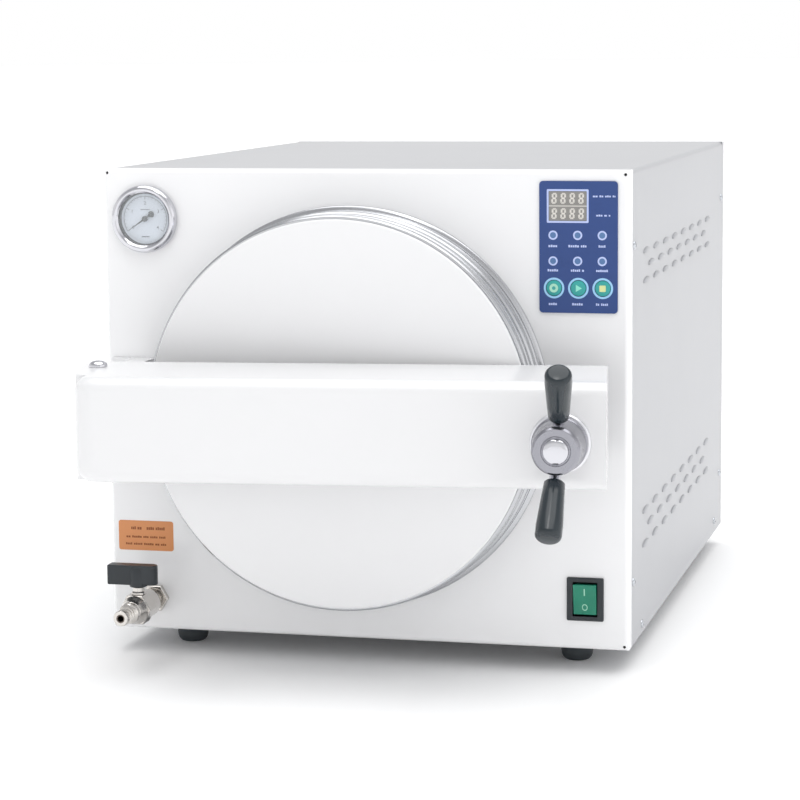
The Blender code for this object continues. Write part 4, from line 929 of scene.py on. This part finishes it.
def makeDrainValve():
    nut = middle("drain_nut")
    place = facing(nut.x, cabinet["frontY"], nut.z)
    stem = valve["stem"]
    nutShape = [(7.8, 0.3), (11.6, 0.3), (12.5, 1.0), (12.5, 4.8), (11.6, 5.5), (7.8, 5.5)]
    addPiece("drainLockNut", spun(nutShape, 6), "nickel", "cabinet", place, ["drain_nut"],
        edgeMm=0.25, sharpDeg=20)
    body = [(4, -14), (6.2, -14), (6.2, 6), (8.0, 6.2), (8.5, 7.0), (8.5, 17.6), (11.5, 21), (12, 24),
        (12, 54), (11.4, 56.2),
            (10, 58.8), (9.4, 61), (9.0, 63.4), (8.4, 64), (5.3, 64), (5.3, 56), (4, 56)]
    addPiece("drainBody", spun(body, 64), "nickel", "cabinet", place, ["drain_valve_body"],
        edgeMm=0.3)
    hexagon = [(11, stem - 6), (13.2, stem - 6), (14.0, stem - 5.2), (14.0, stem + 10.2), (13.2, stem + 11),
        (11, stem + 11)]
    addPiece("drainHexagon", spun(hexagon, 6), "nickel", "cabinet", place, edgeMm=0.3,
        sharpDeg=20)
    upwards = Matrix.Translation((0, 0, stem)) @ Matrix.Rotation(-math.pi / 2, 4, "X")
    neck = [(2.6, 8), (6.2, 8), (6.2, 13), (5.6, 14), (4.9, 14.4), (4.9, 17.6), (4.4, 18.0), (2.6, 18.0)]
    addPiece("drainNeck", moved(spun(neck, 48), upwards), "nickel", "cabinet", place,
        edgeMm=0.2)
    barb = [(3.6, 57), (4.8, 57), (4.8, 64.3), (8.5, 64.3), (8.5, 68.2), (7.9, 69.0), (5.7, 70), (6.8, 74.4),
        (6.8, 74.8), (5.7, 75.2),
            (6.8, 79.6), (6.8, 80.0), (5.7, 80.5), (6.6, 86), (6.5, 87.8), (6.0, 88.5), (3.6, 88.5)]
    addPiece("drainBarbTip", spun(barb, 48), "nickel", "cabinet", place, ["drain_barb"])
    # A dark sleeve lining the barb's bore: painted shade inside the hole.
    addPiece("drainBoreShadeSleeve", spun([(2.6, 60), (3.55, 60), (3.55, 88.2), (2.6, 88.2)], 32), "boreShadePlating", "cabinet",
        place)
    leverPlace = Matrix.Translation((*joints["drain_turn"]["pos_m"][:2], cabinet["bottomZ"]))
    half = valve["leverWide"] / 2
    outline = [(valve["leverLeft"], -half), *roundArc(valve["leverRight"] - half, 0, half, -90, 90, 16),
        (valve["leverLeft"], half)]
    grip = extruded(outline, valve["leverLow"], valve["leverHigh"])
    boss = spun([(0, 46.4), (7.0, 46.4), (7.4, 46.8), (7.4, 60), (6.6, 62.8), (4.5, 64.4), (0, 64.8)], 40)
    addPiece("drainLeverGrip", grip, "nylon", "drain_tap", leverPlace, ["drain_lever"],
        edgeMm=1.3)
    shifted(boss, 0, -0.6)
    addPiece("drainLeverBoss", boss, "nylon", "drain_tap", leverPlace, edgeMm=0.5)
    spindle = spun([(0, 34.6), (2.0, 34.6), (2.0, 48.5), (0, 48.5)], 24)
    addPiece("drainStem", spindle, "nickel", "drain_tap", leverPlace)


makeDrainValve()
print("switch, label and drain valve made")


# rear fittings
def makeRearFittings():
    back = cabinet["rearY"]
    inlet = middle("mains_inlet")
    shape = carved(roundedPlate(48, 22.5, 3, 0.3, 3), [roundedPlate(23, 16, 2, -16, 10)])
    cup = carved(roundedPlate(27, 20, 2, -22, 0.3), [roundedPlate(23, 16, 2, -16, 10)])
    pins = [boxed((x - 1, y - 2, -17), (x + 1, y + 2, -3)) for x, y in ((-7, 2), (7, 2), (0, -2))]
    place = rearFacing(inlet.x, back, inlet.z)
    addPiece("inletFlange", shape, "nylon", "cabinet", place, ["mains_inlet"], sharpDeg=30)
    addPiece("inletCup", cup, "nylon", "cabinet", place)
    addPiece("inletPins", gathered(pins), "brass", "cabinet", place, edgeMm=0.3)
    heads = [shifted(screwHead(2.9, 1.5), side * 20, 0, 3) for side in (-1, 1)]
    addPiece("inletScrews", gathered(heads), "screwZinc", "cabinet", place)
    fuse = middle("fuse_holder")
    shape = [(0, -25), (6.2, -25), (6.2, 0.3), (8, 0.3), (8, 6.4), (7.4, 7.6), (6.6, 8.5), (0, 8.5)]
    slot = boxed((-4.5, -0.6, 7.4), (4.5, 0.6, 10))
    addPiece("fuseCap", carved(spun(shape, 48), [slot]), "nylon", "cabinet", rearFacing(fuse.x, back, fuse.z),
        ["fuse_holder"])
    safety = middle("safety_valve")
    place = rearFacing(safety.x, back, safety.z)
    shape = [(2.2, -20), (8, -20), (8, 0.3), (11, 0.3), (11, 5.6), (10.4, 6.2), (7.5, 7.5), (7.5, 9),
        (6.9, 9.6), (6.9, 10.6), (7.5, 11.2), (7.5, 18), (2.2, 18)]
    addPiece("safetyValveBody", spun(shape, 64), "brass", "cabinet", place, ["safety_valve"],
        edgeMm=0.25)
    knob = [(0, 6), (1.8, 6), (1.8, 18.3), (5.8, 18.3), (6.6, 19.6), (6.8, 21), (6.6, 22.4), (5.8, 23.5),
        (0, 23.5)]
    addPiece("safetyKnob", spun(knob, 48), "brass", "relief_ring", place, ["safety_pull"])


makeRearFittings()
print("rear fittings made")


# floor, light and camera
def addLight(name, kind, place, target, power, size):
    # size is two sides in metres for a soft box, and an angle in degrees for a sun
    light = bpy.data.lights.new(name, kind)
    light.energy = power
    if kind == "AREA":
        light.shape = "RECTANGLE"
        light.size, light.size_y = size
    else:
        light.angle = math.radians(size)
    made = bpy.data.objects.new(name, light)
    bpy.context.collection.objects.link(made)
    made.location = place
    made.rotation_euler = (Vector(target) - Vector(place)).to_track_quat("-Z", "Y").to_euler()


studio = {
    "bandTop": 0.26, "overheadFrom": 0.55,
    # heights on the unit sphere where the white band ends and the ceiling begins
    "band": (1.0, 1.0, 1.0, 1), "ceiling": (0.57, 0.575, 0.585, 1), "floorGlow": 0.02,
    "suns": (("ceilingSun", (0.1, 0.0, 1.0), 1.9, 70), ("sideSun", (1.0, -0.3, 0.3), 0.25, 60)),
    "strip": ((0.15, -1.35, 2.15), (0.19, -0.35, 0.2), 4, (0.3, 0.9)),
}


def makeStudio():
    floorMaterial, shader = newMaterial("matt white floor", "#FFFFFF", 0.9,
        Emission_Strength=studio["floorGlow"])
    shader.inputs["Specular IOR Level"].default_value = 0.1
    shader.inputs["Emission Color"].default_value = (1, 1, 1, 1)
    bm = bmesh.new()
    bmesh.ops.create_circle(bm, cap_ends=True, segments=96, radius=60)
    mesh = bpy.data.meshes.new("studioFloor")
    bm.to_mesh(mesh)
    bm.free()
    mesh.materials.append(floorMaterial)
    floor = bpy.data.objects.new("studioFloor", mesh)
    bpy.context.collection.objects.link(floor)
    world = bpy.data.worlds.new("studio")
    bpy.context.scene.world = world
    world.use_nodes = True
    nodes, links = world.node_tree.nodes, world.node_tree.links
    coordinates = nodes.new("ShaderNodeTexCoord")
    split = nodes.new("ShaderNodeSeparateXYZ")
    ramp = nodes.new("ShaderNodeValToRGB")
    links.new(coordinates.outputs["Generated"], split.inputs[0])
    links.new(split.outputs["Z"], ramp.inputs[0])
    for element, position, colour in zip(ramp.color_ramp.elements, ("bandTop", "overheadFrom"),
        ("band", "ceiling")):
        element.position, element.color = studio[position], studio[colour]
    links.new(ramp.outputs["Color"], nodes["Background"].inputs["Color"])
    for name, direction, power, spread in studio["suns"]:
        addLight(name, "SUN", direction, (0, 0, 0), power, spread)
    place, target, power, size = studio["strip"]
    addLight("stripBox", "AREA", place, target, power, size)


# measured in metres from the foot of the front panel's middle
standpoint = {"place": (0.56506, -2.09233, 0.50117), "aim": (0.0325, 0, 0.2048), "lensMm": 117.8,
    "rollDeg": -0.53}


def makeCamera():
    # stands to the right of the cabinet and a little above it, looking slightly down
    offset = Vector((cabinet["x"], cabinet["frontY"], cabinet["bottomZ"]))
    data = bpy.data.cameras.new("studioCamera")
    data.sensor_width, data.lens = 36, standpoint["lensMm"]
    data.clip_start, data.clip_end = 0.05, 200
    camera = bpy.data.objects.new("studioCamera", data)
    bpy.context.collection.objects.link(camera)
    camera.location = offset + Vector(standpoint["place"])
    target = offset + Vector(standpoint["aim"])
    aim = (target - camera.location).to_track_quat("-Z", "Y").to_matrix()
    camera.rotation_euler = (aim @ Matrix.Rotation(math.radians(standpoint["rollDeg"]), 3, "Z")).to_euler()
    bpy.context.scene.camera = camera


makeStudio()
makeCamera()
bpy.context.scene.view_settings.view_transform = "Standard"
print("studio made")
